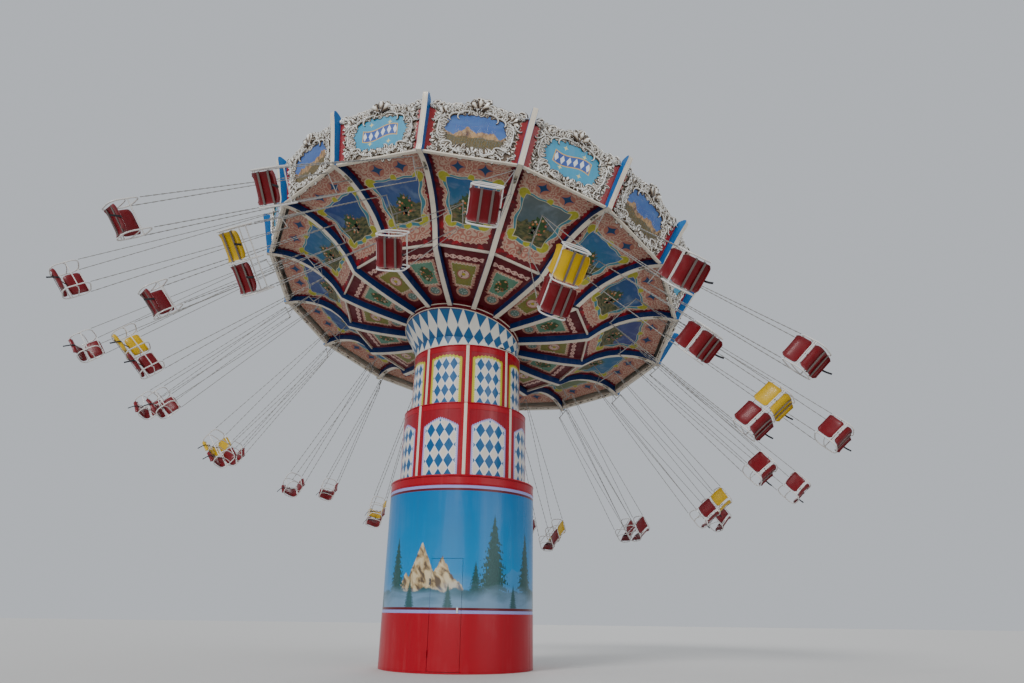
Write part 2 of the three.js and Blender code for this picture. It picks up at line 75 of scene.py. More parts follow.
class Field:
    """A number that varies over a surface: a shader socket with arithmetic."""

    def __init__(self, graph: "Graph", socket: Any) -> None:
        """Holds the socket and the graph that it belongs to."""
        self.graph = graph
        self.socket = socket

    def op(self, kind: str, *others: "Number", clamp: bool = False) -> "Field":
        """Puts one Math node of the given kind after this value."""
        return self.graph.math(kind, self, *others, clamp=clamp)

    def __add__(self, other: "Number") -> "Field":
        """Sum."""
        return self.op("ADD", other)

    def __sub__(self, other: "Number") -> "Field":
        """Difference."""
        return self.op("SUBTRACT", other)

    def __rsub__(self, other: float) -> "Field":
        """Difference from a number."""
        return self.graph.math("SUBTRACT", other, self)

    def __mul__(self, other: "Number") -> "Field":
        """Product."""
        return self.op("MULTIPLY", other)

    def __truediv__(self, other: "Number") -> "Field":
        """Quotient."""
        return self.op("DIVIDE", other)

    __radd__ = __add__
    __rmul__ = __mul__

    def abs(self) -> "Field":
        """Distance from zero."""
        return self.op("ABSOLUTE")

    def sin(self) -> "Field":
        """Sine."""
        return self.op("SINE")

    def root(self) -> "Field":
        """Square root."""
        return self.op("SQRT")

    def fract(self) -> "Field":
        """Part after the decimal point."""
        return self.op("FRACT")

    def least(self, other: "Number") -> "Field":
        """The smaller of two values."""
        return self.op("MINIMUM", other)

    def most(self, other: "Number") -> "Field":
        """The larger of two values."""
        return self.op("MAXIMUM", other)

    def under(self, soft: float = 0.004) -> "Field":
        """Mask that is 1 where the value is below zero, over a soft edge in metres."""
        return self.op("MULTIPLY_ADD", -1.0 / soft, 0.5, clamp=True)

    def wave(self, period: float) -> "Field":
        """Sine wave of the given period."""
        return (self * (FULL_TURN / period)).sin()

    def repeat(self, period: float) -> "Field":
        """Distance from the middle of a cell that repeats, from minus to plus half a period."""
        return ((self / period).fract() - 0.5) * period


Number = Union[Field, float]


class Graph:
    """Writes shader nodes; each method gives the socket that it makes."""

    MIX_SHARE, MIX_BELOW, MIX_ABOVE, MIX_RESULT = 0, 6, 7, 2

    def __init__(self, tree: bpy.types.NodeTree) -> None:
        """Starts on a node tree."""
        self.tree = tree

    def node(self, kind: str, **settings: Any) -> bpy.types.Node:
        """Adds a node and sets its own settings.

        Args:
            kind: Type of the node.
            settings: Its own settings by name.

        Returns:
            The new node.
        """
        made = self.tree.nodes.new(kind)
        for name, value in settings.items():
            setattr(made, name, value)
        return made

    def put(self, socket: Any, value: Any) -> None:
        """Links a value to a socket, or sets it there when it is a constant.

        Args:
            socket: Input that takes the value.
            value: A field, a socket, a colour or a number.
        """
        if isinstance(value, Field):
            value = value.socket
        if isinstance(value, bpy.types.NodeSocket):
            self.tree.links.new(value, socket)
        elif isinstance(value, tuple):
            socket.default_value = (*value, 1.0) if len(socket.default_value) == 4 else value
        else:
            socket.default_value = value

    def math(self, kind: str, *values: Number, clamp: bool = False) -> Field:
        """Adds a Math node over up to three values.

        Args:
            kind: Name of the operation.
            values: Its operands.
            clamp: Keeps the result between 0 and 1.

        Returns:
            The result.
        """
        made = self.node("ShaderNodeMath", operation=kind, use_clamp=clamp)
        for socket, value in zip(made.inputs, values):
            self.put(socket, value)
        return Field(self, made.outputs[0])

    def uv(self, layer: str) -> tuple[Field, Field]:
        """Both coordinates of one of the piece's UV maps.

        Args:
            layer: Name of the map.

        Returns:
            Its first and second coordinate.
        """
        made = self.node("ShaderNodeUVMap", uv_map=layer)
        split = self.node("ShaderNodeSeparateXYZ")
        self.put(split.inputs[0], made.outputs[0])
        return Field(self, split.outputs[0]), Field(self, split.outputs[1])

    def at(self, x: Number, y: Number, z: Number = 0.0) -> Any:
        """Joins three values to a vector.

        Args:
            x: First value.
            y: Second value.
            z: Third value.

        Returns:
            The vector's socket.
        """
        made = self.node("ShaderNodeCombineXYZ")
        for socket, value in zip(made.inputs, (x, y, z)):
            self.put(socket, value)
        return made.outputs[0]

    def place(self, stretch: Colour = (1.0, 1.0, 1.0)) -> Any:
        """Object coordinates, stretched along each axis.

        Args:
            stretch: Scale along each axis.

        Returns:
            The vector's socket.
        """
        coordinates = self.node("ShaderNodeTexCoord")
        mapping = self.node("ShaderNodeMapping")
        self.put(mapping.inputs["Vector"], coordinates.outputs["Object"])
        mapping.inputs["Scale"].default_value = stretch
        return mapping.outputs[0]

    def noise(self, where: Any, scale: float, detail: float = 3.0, warp: float = 0.0) -> Field:
        """Cloudy noise from 0 to 1 at the given points.

        Args:
            where: Socket of the points.
            scale: Waves per metre.
            detail: Number of finer layers.
            warp: How far it is bent.

        Returns:
            The noise.
        """
        made = self.node("ShaderNodeTexNoise")
        self.put(made.inputs["Vector"], where)
        made.inputs["Scale"].default_value = scale
        made.inputs["Detail"].default_value = detail
        made.inputs["Distortion"].default_value = warp
        return Field(self, made.outputs["Fac"])

    def cells(self, where: Any, scale: float) -> tuple[Field, Any]:
        """Distance to the nearest scattered point, and that point's own random colour.

        Args:
            where: Socket of the points.
            scale: Cells per metre.

        Returns:
            The distance, and the colour's socket.
        """
        made = self.node("ShaderNodeTexVoronoi")
        self.put(made.inputs["Vector"], where)
        made.inputs["Scale"].default_value = scale
        return Field(self, made.outputs["Distance"]), made.outputs["Color"]

    def mix(self, share: Number, below: Any, above: Any) -> Any:
        """Lays one colour over another.

        Args:
            share: Share of the upper colour.
            below: Lower colour.
            above: Upper colour.

        Returns:
            The mixed colour's socket.
        """
        made = self.node("ShaderNodeMix", data_type="RGBA")
        self.put(made.inputs[self.MIX_SHARE], share)
        self.put(made.inputs[self.MIX_BELOW], below)
        self.put(made.inputs[self.MIX_ABOVE], above)
        return made.outputs[self.MIX_RESULT]

    def layers(self, ground: Any, *coats: tuple[Number, Any]) -> Any:
        """Lays coats of colour on a ground, each through its mask.

        Args:
            ground: Lowest colour.
            coats: Mask and colour of each coat, from below.

        Returns:
            The topmost colour's socket.
        """
        for mask, colour in coats:
            ground = self.mix(mask, ground, colour)
        return ground

    def ramp(self, value: Field, *stops: tuple[float, Colour]) -> Any:
        """Colours along a value.

        Args:
            value: Place on the ramp.
            stops: Places and colours, in order.

        Returns:
            The colour's socket.
        """
        made = self.node("ShaderNodeValToRGB")
        self.put(made.inputs[0], value)
        elements = made.color_ramp.elements
        elements[0].position, elements[0].color = stops[0][0], (*stops[0][1], 1)
        elements[1].position, elements[1].color = stops[-1][0], (*stops[-1][1], 1)
        for position, colour in stops[1:-1]:
            elements.new(position).color = (*colour, 1)
        return made.outputs[0]


class Weathering:
    """Shared group: uneven enamel, rain streaks, dust and fine orange peel."""

    NAME = "weathered enamel"

    @classmethod
    def tree(cls) -> bpy.types.NodeTree:
        """Builds the group once and gives it back.

        Returns:
            The node group with inputs Color, Roughness and Dirt, and outputs Color, Roughness
            and Height. Streaks are noise stretched along Z; dust gathers where noise is high.
        """
        if cls.NAME in bpy.data.node_groups:
            return bpy.data.node_groups[cls.NAME]
        tree = bpy.data.node_groups.new(cls.NAME, "ShaderNodeTree")
        for name, kind in (("Color", "NodeSocketColor"), ("Roughness", "NodeSocketFloat"),
                           ("Dirt", "NodeSocketFloat")):
            tree.interface.new_socket(name, in_out="INPUT", socket_type=kind)
        for name, kind in (("Color", "NodeSocketColor"), ("Roughness", "NodeSocketFloat"),
                           ("Height", "NodeSocketFloat")):
            tree.interface.new_socket(name, in_out="OUTPUT", socket_type=kind)
        g = Graph(tree)
        given = g.node("NodeGroupInput")
        result = g.node("NodeGroupOutput")
        dirt = Field(g, given.outputs["Dirt"])
        cloud = g.noise(g.place(), 1.7, 4.0)
        streak = g.noise(g.place((9.0, 9.0, 0.5)), 1.0, 4.0)
        speck = g.noise(g.place(), 42.0, 4.0)
        peel = g.noise(g.place(), 260.0, 2.0)
        shade = ((cloud - 0.5) * 0.5 + (streak - 0.5) * 0.7) * dirt
        darker = g.mix((shade * 1.4).most(0.0), given.outputs["Color"], (0.06, 0.05, 0.04))
        paler = g.mix((shade * -0.45).most(0.0), darker, (0.7, 0.68, 0.64))
        grime = ((speck - 0.62) * 5.0).op("MULTIPLY", dirt, clamp=True) * 0.5
        g.put(result.inputs["Color"], g.mix(grime, paler, (0.1, 0.085, 0.07)))
        rough = Field(g, given.outputs["Roughness"]) + (streak - 0.45) * 0.25 + grime * 0.3
        g.put(result.inputs["Roughness"], rough)
        g.put(result.inputs["Height"], peel * 0.25 + speck * 0.25 + cloud)
        return tree


@dataclass(frozen=True)
class Finish:
    """An enamel coat of one colour, weathered.

    Attributes are the colour, the gloss, how dirty it is, its metal share, its clear coat, the
    strength of its bump and how much it mirrors.
    """

    name: str
    colour: Colour = WHITE
    roughness: float = 0.36
    dirt: float = 0.35
    metal: float = 0.0
    coat: float = 0.1
    bump: float = 0.12
    mirror: float = 0.35

    def pattern(self, g: Graph) -> Any:
        """The painted colour before weathering."""
        return self.colour

    def material(self) -> bpy.types.Material:
        """Builds the material once and gives it back.

        Returns:
            The material.
        """
        if self.name in bpy.data.materials:
            return bpy.data.materials[self.name]
        made = bpy.data.materials.new(self.name)
        made.use_nodes = True
        g = Graph(made.node_tree)
        shader = made.node_tree.nodes["Principled BSDF"]
        weather = g.node("ShaderNodeGroup", node_tree=Weathering.tree())
        g.put(weather.inputs["Color"], self.pattern(g))
        weather.inputs["Roughness"].default_value = self.roughness
        weather.inputs["Dirt"].default_value = self.dirt
        g.put(shader.inputs["Base Color"], weather.outputs["Color"])
        g.put(shader.inputs["Roughness"], weather.outputs["Roughness"])
        bump = g.node("ShaderNodeBump")
        bump.inputs["Strength"].default_value = self.bump
        bump.inputs["Distance"].default_value = 0.004
        g.put(bump.inputs["Height"], weather.outputs["Height"])
        g.put(shader.inputs["Normal"], bump.outputs["Normal"])
        shader.inputs["Metallic"].default_value = self.metal
        shader.inputs["Specular IOR Level"].default_value = self.mirror
        shader.inputs["Coat Weight"].default_value = self.coat
        shader.inputs["Coat Roughness"].default_value = 0.08
        return made


def diamond(x: Field, y: Field, wide: float, tall: float) -> Field:
    """Lattice of diamonds that touch at their tips.

    The value is |x| / (wide / 2) + |y| / (tall / 2) - 1 about the nearest lattice point, so it is
    below zero inside a diamond.
    """
    return x.repeat(wide).abs() * (2 / wide) + y.repeat(tall).abs() * (2 / tall) - 1.0


def lozenges(g: Graph, x: Field, y: Field, wide: float, tall: float) -> Any:
    """Blue diamonds about every whole cell on white, with faintly cream diamonds between them.

    Args:
        g: Writes the nodes.
        x: Metres across.
        y: Metres up.
        wide: Width of a diamond.
        tall: Height of a diamond.

    Returns:
        The painted colour.
    """
    blue = diamond(x + wide / 2, y + tall / 2, wide, tall) + 0.02
    between = diamond(x, y, wide, tall) + 0.2
    tone = g.noise(g.at(x, y), 7.0, 2.0)
    coat = g.mix(tone, (0.001, 0.066, 0.18), (0.002, 0.098, 0.25))
    return g.layers((0.6, 0.62, 0.66), (between.under(0.05), (0.6, 0.54, 0.46)), (blue.under(0.05), coat))


def around(x: Field, y: Field) -> Field:
    """Distance from x = y = 0."""
    return (x * x + y * y).root()


def lens(x: Field, y: Field) -> Field:
    """Value that is least along the arms of a four-pointed star."""
    return x.abs().root() + y.abs().root()


@dataclass(frozen=True)
class ArchShape:
    """Head of a painted panel: its curve, its waves, and its border's width and two colours."""

    power: float
    rise: float
    period: float
    ripple: float
    border: float
    edge: Colour
    inner: Colour


class Arch(Enum):
    """The two painted panel heads of the tower."""

    LACE = ArchShape(1.3, 0.17, 0.09, 0.022, 0.034, (0.3, 0.3, 0.56), (0.56, 0.56, 0.68))
    SCALLOP = ArchShape(2.0, 0.07, 0.16, 0.026, 0.046, (0.42, 0.4, 0.02), (0.62, 0.6, 0.14))


@dataclass(frozen=True)
class DrumPanelPaint(Finish):
    """A lozenge panel in a red surround; the panel's head follows one of two arches."""

    arch: Arch = Arch.LACE
    half: float = 0.385
    sill: float = 3.5
    head: float = 4.7
    cell: tuple[float, float] = (0.2, 0.31)

    def pattern(self, g: Graph) -> Any:
        """Lozenges inside the arch, a border along it and red outside.

        The arch is the height head - rise (|x| / half)**power less a small wave, and the panel is
        where the larger of the sideways and upward overshoot is below zero.

        Args:
            g: Writes the nodes.

        Returns:
            The painted colour.
        """
        shape = self.arch.value
        x, y = g.uv("Panel")
        across = x.abs() - self.half
        drop = (x.abs() / self.half).op("POWER", shape.power) * shape.rise
        ripple = x.wave(shape.period).abs() * shape.ripple
        upward = y - self.head + drop + ripple
        outside = across.most(upward)
        lace = outside + shape.border + (y.wave(0.09).abs() + x.wave(0.09).abs()) * 0.009
        ground = g.mix(g.noise(g.at(x * 6.0, y), 1.6, 3.0), (0.2, 0.0005, 0.008), (0.3, 0.0006, 0.01))
        return g.layers(
            lozenges(g, x, y - self.sill, *self.cell),
            ((lace * -1.0).under(), shape.inner), ((lace * -1.0 + 0.012).under(), shape.edge),
            ((outside * -1.0).under(), ground))


@dataclass(frozen=True)
class CollarPaint(Finish):
    """Blue lozenges round the collar, which grow and shrink with its height."""

    count: int = 34
    belt: float = 0.56

    def pattern(self, g: Graph) -> Any:
        """Long triangles hang from the rim to half height and diamonds stand below them.

        The Panel map holds turns round the tower and the share of the collar's height. With b the
        share where the two meet, a column is blue where its side distance is below
        (share - b) / (1 - b) above and 1 - |2 share / b - 1| below.

        Args:
            g: Writes the nodes.

        Returns:
            The painted colour.
        """
        turn, share = g.uv("Panel")
        side = (turn * self.count).repeat(1.0).abs() * 2.0
        full = ((share - self.belt) / (1 - self.belt)).most(1.0 - (share / (self.belt / 2) - 1.0).abs())
        blue = g.mix(g.noise(g.place(), 7.0, 2.0), (0.001, 0.062, 0.17), (0.002, 0.095, 0.24))
        return g.layers((0.6, 0.58, 0.52), ((side - full + 0.02).under(0.06), blue))


def fir(g: Graph, x: Field, y: Field, foot: tuple[float, float], height: float) -> Field:
    """Mask of one fir tree.

    The half width falls from the foot to the tip; every bough widens it by a saw tooth, and noise
    frays its edge.

    Args:
        g: Writes the nodes.
        x: Metres across.
        y: Metres up.
        foot: Place across of the trunk, and height of the lowest bough.
        height: Height of the tree.

    Returns:
        The mask.
    """
    rise = (y - foot[1]) / height
    saw = 1.0 - (rise * 11.0 + (x - foot[0]).abs() * (3.0 / height)).fract()
    fray = g.noise(g.at(x * 2.2, y), 20.0 / height, 5.0)
    half = (1.0 - rise) * height * (0.16 + 0.09 * saw + (fray - 0.5) * 0.5)
    inside = (x - foot[0]).abs() - half
    return inside.most(rise * -height).most((rise - 1.0) * height).under(0.012)


# Trees and peaks of the mural: place across in metres, then foot and height, or height and slope.
FIR_PLACES = ((0.66, 1.32, 1.45), (0.3, 1.3, 0.6), (-1.36, 1.35, 1.0), (1.5, 1.4, 1.1), (2.6, 1.35, 1.5),
              (-2.5, 1.4, 1.3), (-3.7, 1.35, 1.0), (3.9, 1.4, 1.2))
YOUNG_FIRS = ((-0.2, 1.09, 0.42), (-0.98, 1.09, 0.5), (1.12, 1.09, 0.42), (2.1, 1.09, 0.5),
              (-2.0, 1.09, 0.4))
PEAKS = ((-0.74, 0.86, 2.0), (-0.32, 0.62, 1.5), (-1.1, 0.44, 1.7))


@dataclass(frozen=True)
class MuralPaint(Finish):
    """A sky with pale peaks, mist and firs, between striped borders."""

    low: float = 0.99
    high: float = 3.29

    def pattern(self, g: Graph) -> Any:
        """Sky by height, peaks and banks by noise along the drum, firs and mist in front.

        Args:
            g: Writes the nodes.

        Returns:
            The painted colour.
        """
        x, y = g.uv("Panel")
        cloud = g.noise(g.at(x * 0.5, y * 1.6), 2.2, 5.0, 0.6)
        sky = g.ramp((y - self.low) / 2.3 + (cloud - 0.5) * 0.16,
                     (0.08, (0.05, 0.26, 0.47)), (0.3, (0.002, 0.19, 0.44)), (1.0, (0.001, 0.13, 0.34)))
        crag = g.noise(g.at(x, y * 0.3), 3.4, 8.0)
        facet = g.noise(g.at(x * 1.5 + y * 0.6, y), 5.0, 7.0, 0.65)
        rock = g.ramp(facet, (0.38, (0.1, 0.07, 0.045)), (0.48, (0.36, 0.26, 0.13)),
                      (0.58, (0.56, 0.46, 0.28)))
        first, second, third = (height - (x - middle).abs() * slope for middle, height, slope in PEAKS)
        outline = first.most(second).most(third)
        summit = 1.34 + outline + (crag - 0.5) * 0.7
        peaks = (y - summit).most(1.28 + (crag - 0.5) * 0.3 - y).most(0.02 - outline)
        far = (y - 1.66 - (g.noise(g.at(x, 0.0), 1.3, 5.0) - 0.5) * 0.9).under(0.03)
        near = (y - 1.4 - (g.noise(g.at(x, 5.0), 2.1, 5.0) - 0.5) * 0.5).under(0.03)
        needles = g.mix(g.noise(g.at(x * 2.0, y), 22.0, 5.0), (0.002, 0.018, 0.024), (0.02, 0.11, 0.1))
        mist = ((y - 1.33 + (cloud - 0.5) * 0.7) / 0.3).under(1.0) * 0.6
        trees = [fir(g, x, y, (px, py), tall) for px, py, tall in FIR_PLACES]
        front = [fir(g, x, y, (px, py), tall) for px, py, tall in YOUNG_FIRS]
        paint = g.layers(
            sky, (far, (0.03, 0.2, 0.42)), (peaks.under(0.015), rock), (near, (0.012, 0.07, 0.08)),
            *[(mask, needles) for mask in trees], (mist, (0.22, 0.36, 0.55)),
            *[(mask * 0.9, needles) for mask in front])
        top, foot = self.high - y, y - self.low
        line = top.least(foot)
        return g.layers(paint, ((line - 0.1).under(), DEEP_RED), ((line - 0.055).under(), LILAC))


def bouquet(g: Graph, x: Field, y: Field, size: tuple[float, float], ground: Any) -> Any:
    """Lays a bunch of blossoms and leaves over a ground, about x = y = 0.

    Scattered cells inside an ellipse take their own colour; the gaps between them are leaf green,
    and spikes of noise fray the outline.

    Args:
        g: Writes the nodes.
        x: Metres across.
        y: Metres up.
        size: Half width and half height.
        ground: Colour round it.

    Returns:
        The painted colour.
    """
    distance, shade = g.cells(g.at(x, y), 15.0)
    fray = g.noise(g.at(x * 1.3, y), 13.0, 3.0)
    reach = around(x / size[0], y / size[1]) - 1.0 + (fray - 0.5) * 1.5
    pick = g.node("ShaderNodeSeparateColor")
    g.put(pick.inputs[0], shade)
    petals = g.ramp(Field(g, pick.outputs[0]), (0.0, (0.3, 0.01, 0.01)), (0.3, (0.5, 0.16, 0.05)),
                    (0.55, (0.56, 0.42, 0.32)), (0.75, (0.16, 0.06, 0.03)), (1.0, (0.42, 0.05, 0.09)))
    heart = (distance - 0.16).under(0.08)
    leaves = g.mix(fray, (0.004, 0.025, 0.012), (0.05, 0.12, 0.025))
    blossom = g.layers(leaves, ((distance - 0.4).under(0.12), petals), (heart, (0.5, 0.4, 0.1)))
    return g.mix(reach.under(0.08), ground, blossom)


def curls(g: Graph, x: Field, y: Field, scale: float, thin: float = 0.25) -> Field:
    """Mask of painted curls: the crests of rings round scattered points, bent by noise.

    Args:
        g: Writes the nodes.
        x: Metres across.
        y: Metres up.
        scale: Cells per metre.
        thin: How thin the curls are drawn.

    Returns:
        The mask.
    """
    bend = g.noise(g.at(x, y), scale * 0.8, 2.0)
    distance, _ = g.cells(g.at(x + (bend - 0.5) * 0.12, y + (bend - 0.5) * 0.1), scale)
    return (thin - (distance * 17.0).sin()).under(0.35)


@dataclass(frozen=True)
class CeilingScenePaint(Finish):
    """Outer ceiling: a framed picture on a pink scrolled field, red along the ribs.

    The maps are Panel (metres from the bay's middle, metres out from the kink) and Span (metres
    from the rib's edge, number of the bay).
    """

    centre: float = 0.92
    tall: float = 0.46
    narrow: float = 0.31
    splay: float = 0.2

    def picture(self, g: Graph, x: Field, y: Field, bay: Field) -> Any:
        """A painted evening garden: sky, hills, water and a bouquet, tinted bay by bay.

        Args:
            g: Writes the nodes.
            x: Metres across.
            y: Metres up.
            bay: Number of the bay.

        Returns:
            The painted colour.
        """
        tint = (bay * 0.618).fract()
        soft = g.noise(g.at(x, y, bay), 3.0, 5.0, 0.8)
        low = g.ramp(tint, (0.0, (0.01, 0.07, 0.14)), (0.4, (0.03, 0.16, 0.15)), (0.7, (0.01, 0.05, 0.2)),
                     (1.0, (0.05, 0.11, 0.03)))
        high = g.ramp(tint, (0.0, (0.02, 0.04, 0.2)), (0.4, (0.01, 0.12, 0.3)), (0.7, (0.06, 0.06, 0.2)),
                      (1.0, (0.16, 0.2, 0.05)))
        sky = g.mix((y / self.tall) * 0.35 + 0.5, low, high)
        sky = g.mix(((soft - 0.52) * 2.2).most(0.0), sky, (0.22, 0.28, 0.34))
        hill = (y + 0.08 + (g.noise(g.at(x, bay), 4.0, 4.0) - 0.5) * 0.5).under(0.03)
        meadow = g.ramp(g.noise(g.at(x, y * 2.0, bay), 9.0, 5.0), (0.35, (0.015, 0.03, 0.015)),
                        (0.55, (0.1, 0.1, 0.035)), (0.7, (0.22, 0.12, 0.06)))
        shift = (tint - 0.5) * 0.16
        return bouquet(g, x - shift, y + 0.1, (0.17, 0.22), g.layers(sky, (hill, meadow)))

    def pattern(self, g: Graph) -> Any:
        """Coats from the ground up: red, pink mantle with curls, frame with lobes, picture and stars.

        The frame is the picture's outline grown by a border, joined with round lobes at its four
        corners and at the middle of its ends; the mantle is the frame grown again, with scallops.

        Args:
            g: Writes the nodes.

        Returns:
            The painted colour.
        """
        x, out = g.uv("Panel")
        edge, bay = g.uv("Span")
        y = out - self.centre
        side = x.abs()
        wide = (y + self.tall) * self.splay + self.narrow
        ripple = y.wave(0.42) * 0.014 + x.wave(0.3) * 0.012
        inside = (side - wide).most(y.abs() - self.tall) + ripple
        lobe = around(side - wide - 0.03, y.abs() - self.tall + 0.01) - 0.125
        fleuron = around(x, y.abs() - self.tall - 0.05) - 0.075
        corner = lobe.least(fleuron) + (x + y).wave(0.07).abs() * 0.012
        rim = (inside - 0.062 + y.wave(0.46) * 0.018).least(corner)
        gold = g.mix(g.noise(g.at(x, out), 20.0), (0.24, 0.22, 0.01), (0.46, 0.44, 0.04))
        water = g.mix(g.noise(g.at(x, out), 14.0), (0.015, 0.12, 0.18), (0.08, 0.26, 0.3))
        pale = (0.52, 0.46, 0.32)
        scallop = (out.wave(0.19).abs() - 0.5) * 0.045
        mantle = (rim - 0.07 + scallop).most(0.1 - edge)
        lower = (0.07 + side * side * 0.3 - out + x.wave(0.22).abs() * 0.03).most(0.11 - edge - scallop)
        upper = (1.36 - out).most(0.085 - edge - scallop)
        pink_zone = mantle.least(lower.most(out - 0.45)).least(upper)
        pink = g.mix(g.noise(g.at(x, out), 6.0), (0.3, 0.1, 0.07), (0.42, 0.17, 0.12))
        cream_curl = (0.46, 0.31, 0.23)
        star = lens(side - 0.26, out - 1.64) - 0.43
        disc = around(side - 0.26, out - 1.64) - 0.17 + (x + out).wave(0.08).abs() * 0.012
        blotch = g.noise(g.at(x, out), 5.0, 2.0)
        red = g.mix(((blotch - 0.5) * 6.0).most(0.0), DEEP_RED, (0.34, 0.003, 0.01))
        return g.layers(
            red, (pink_zone.under(), pink),
            (curls(g, x, out, 8.0, 0.05) * (pink_zone + 0.012).under(), cream_curl),
            ((pink_zone.abs() - 0.009).under(), cream_curl),
            (rim.under(), g.mix((corner - 0.004).under(), water, gold)), ((rim.abs() - 0.007).under(), pale),
            (inside.under(), self.picture(g, x, y, bay)), ((inside.abs() - 0.006).under(), pale),
            (disc.under(), (0.36, 0.13, 0.09)), ((disc.abs() - 0.008).under(), cream_curl),
            (star.under(0.03), (0.003, 0.045, 0.13)))


@dataclass(frozen=True)
class CeilingCartouchePaint(Finish):
    """Inner ceiling: a cartouche and a small round medallion in each bay, on red."""

    middle: float = 0.82
    tall: float = 0.34

    def garland(self, x: Field, out: Field) -> Field:
        """Two strands that wind round each other along the kink, with knots where they cross.

        Args:
            x: Metres across.
            out: Metres out from the hub.

        Returns:
            Value that is below zero on the garland.
        """
        swing = x.wave(0.3) * 0.04
        strands = (out - 1.29 - swing).abs().least((out - 1.29 + swing).abs()) - 0.015
        return strands.least(around(x.repeat(0.15), out - 1.29) - 0.026)

    def pattern(self, g: Graph) -> Any:
        """Cartouches alternate between turquoise with a bouquet and olive with a rosette.

        Args:
            g: Writes the nodes.

        Returns:
            The painted colour.
        """
        x, out = g.uv("Panel")
        edge, bay = g.uv("Span")
        y = out - self.middle
        odd = ((bay * 0.5).fract() - 0.25).under(0.01)
        fringe = (x.wave(0.15).abs() + y.wave(0.17).abs()) * 0.024
        shape = (0.12 - edge).most(y.abs() - self.tall) + fringe
        turquoise = g.mix(g.noise(g.at(x, out), 6.0), (0.05, 0.17, 0.11), (0.14, 0.27, 0.18))
        olive = g.mix(g.noise(g.at(x, out), 6.0), (0.13, 0.13, 0.02), (0.24, 0.22, 0.045))
        fill = g.mix(odd, turquoise, olive)
        posy = bouquet(g, x, y, (0.13, 0.2), fill)
        radius = around(x, y - 0.02)
        petal, _ = g.cells(g.at(x, out), 16.0)
        shield = g.layers(fill, ((radius - 0.14).under(), (0.3, 0.1, 0.07)),
                          ((radius - 0.115).under(), (0.56, 0.38, 0.32)),
                          ((petal - 0.3).under(0.1) * (radius - 0.105).under(), (0.03, 0.016, 0.03)),
                          ((radius - 0.04).under(), OCHRE))
        inside = g.mix(odd, posy, shield)
        disc = around(x, out - 0.33) + (x + out).wave(0.06).abs() * 0.014
        flower, _ = g.cells(g.at(x, out), 22.0)
        medal = g.mix((flower - 0.35).under(0.1), (0.1, 0.17, 0.14), (0.34, 0.38, 0.34))
        scroll = curls(g, x, out, 13.0, 0.1)
        pale = (0.44, 0.28, 0.2)
        strand = self.garland(x, out).most(0.05 - edge)
        return g.layers(
            DEEP_RED, ((shape - 0.05).under(), pale), (scroll * (shape - 0.06).under(), (0.4, 0.16, 0.11)),
            (shape.under(), inside), ((shape.abs() - 0.007).under(), (0.56, 0.48, 0.36)),
            ((disc - 0.16).under(), pale), (scroll * (disc - 0.15).under(), (0.4, 0.16, 0.11)),
            ((disc - 0.12).under(), (0.22, 0.13, 0.1)), ((disc - 0.11).under(), medal),
            (strand.under(), (0.62, 0.4, 0.33)), (((out - 1.53).abs() - 0.008).under(), (0.5, 0.26, 0.2)))


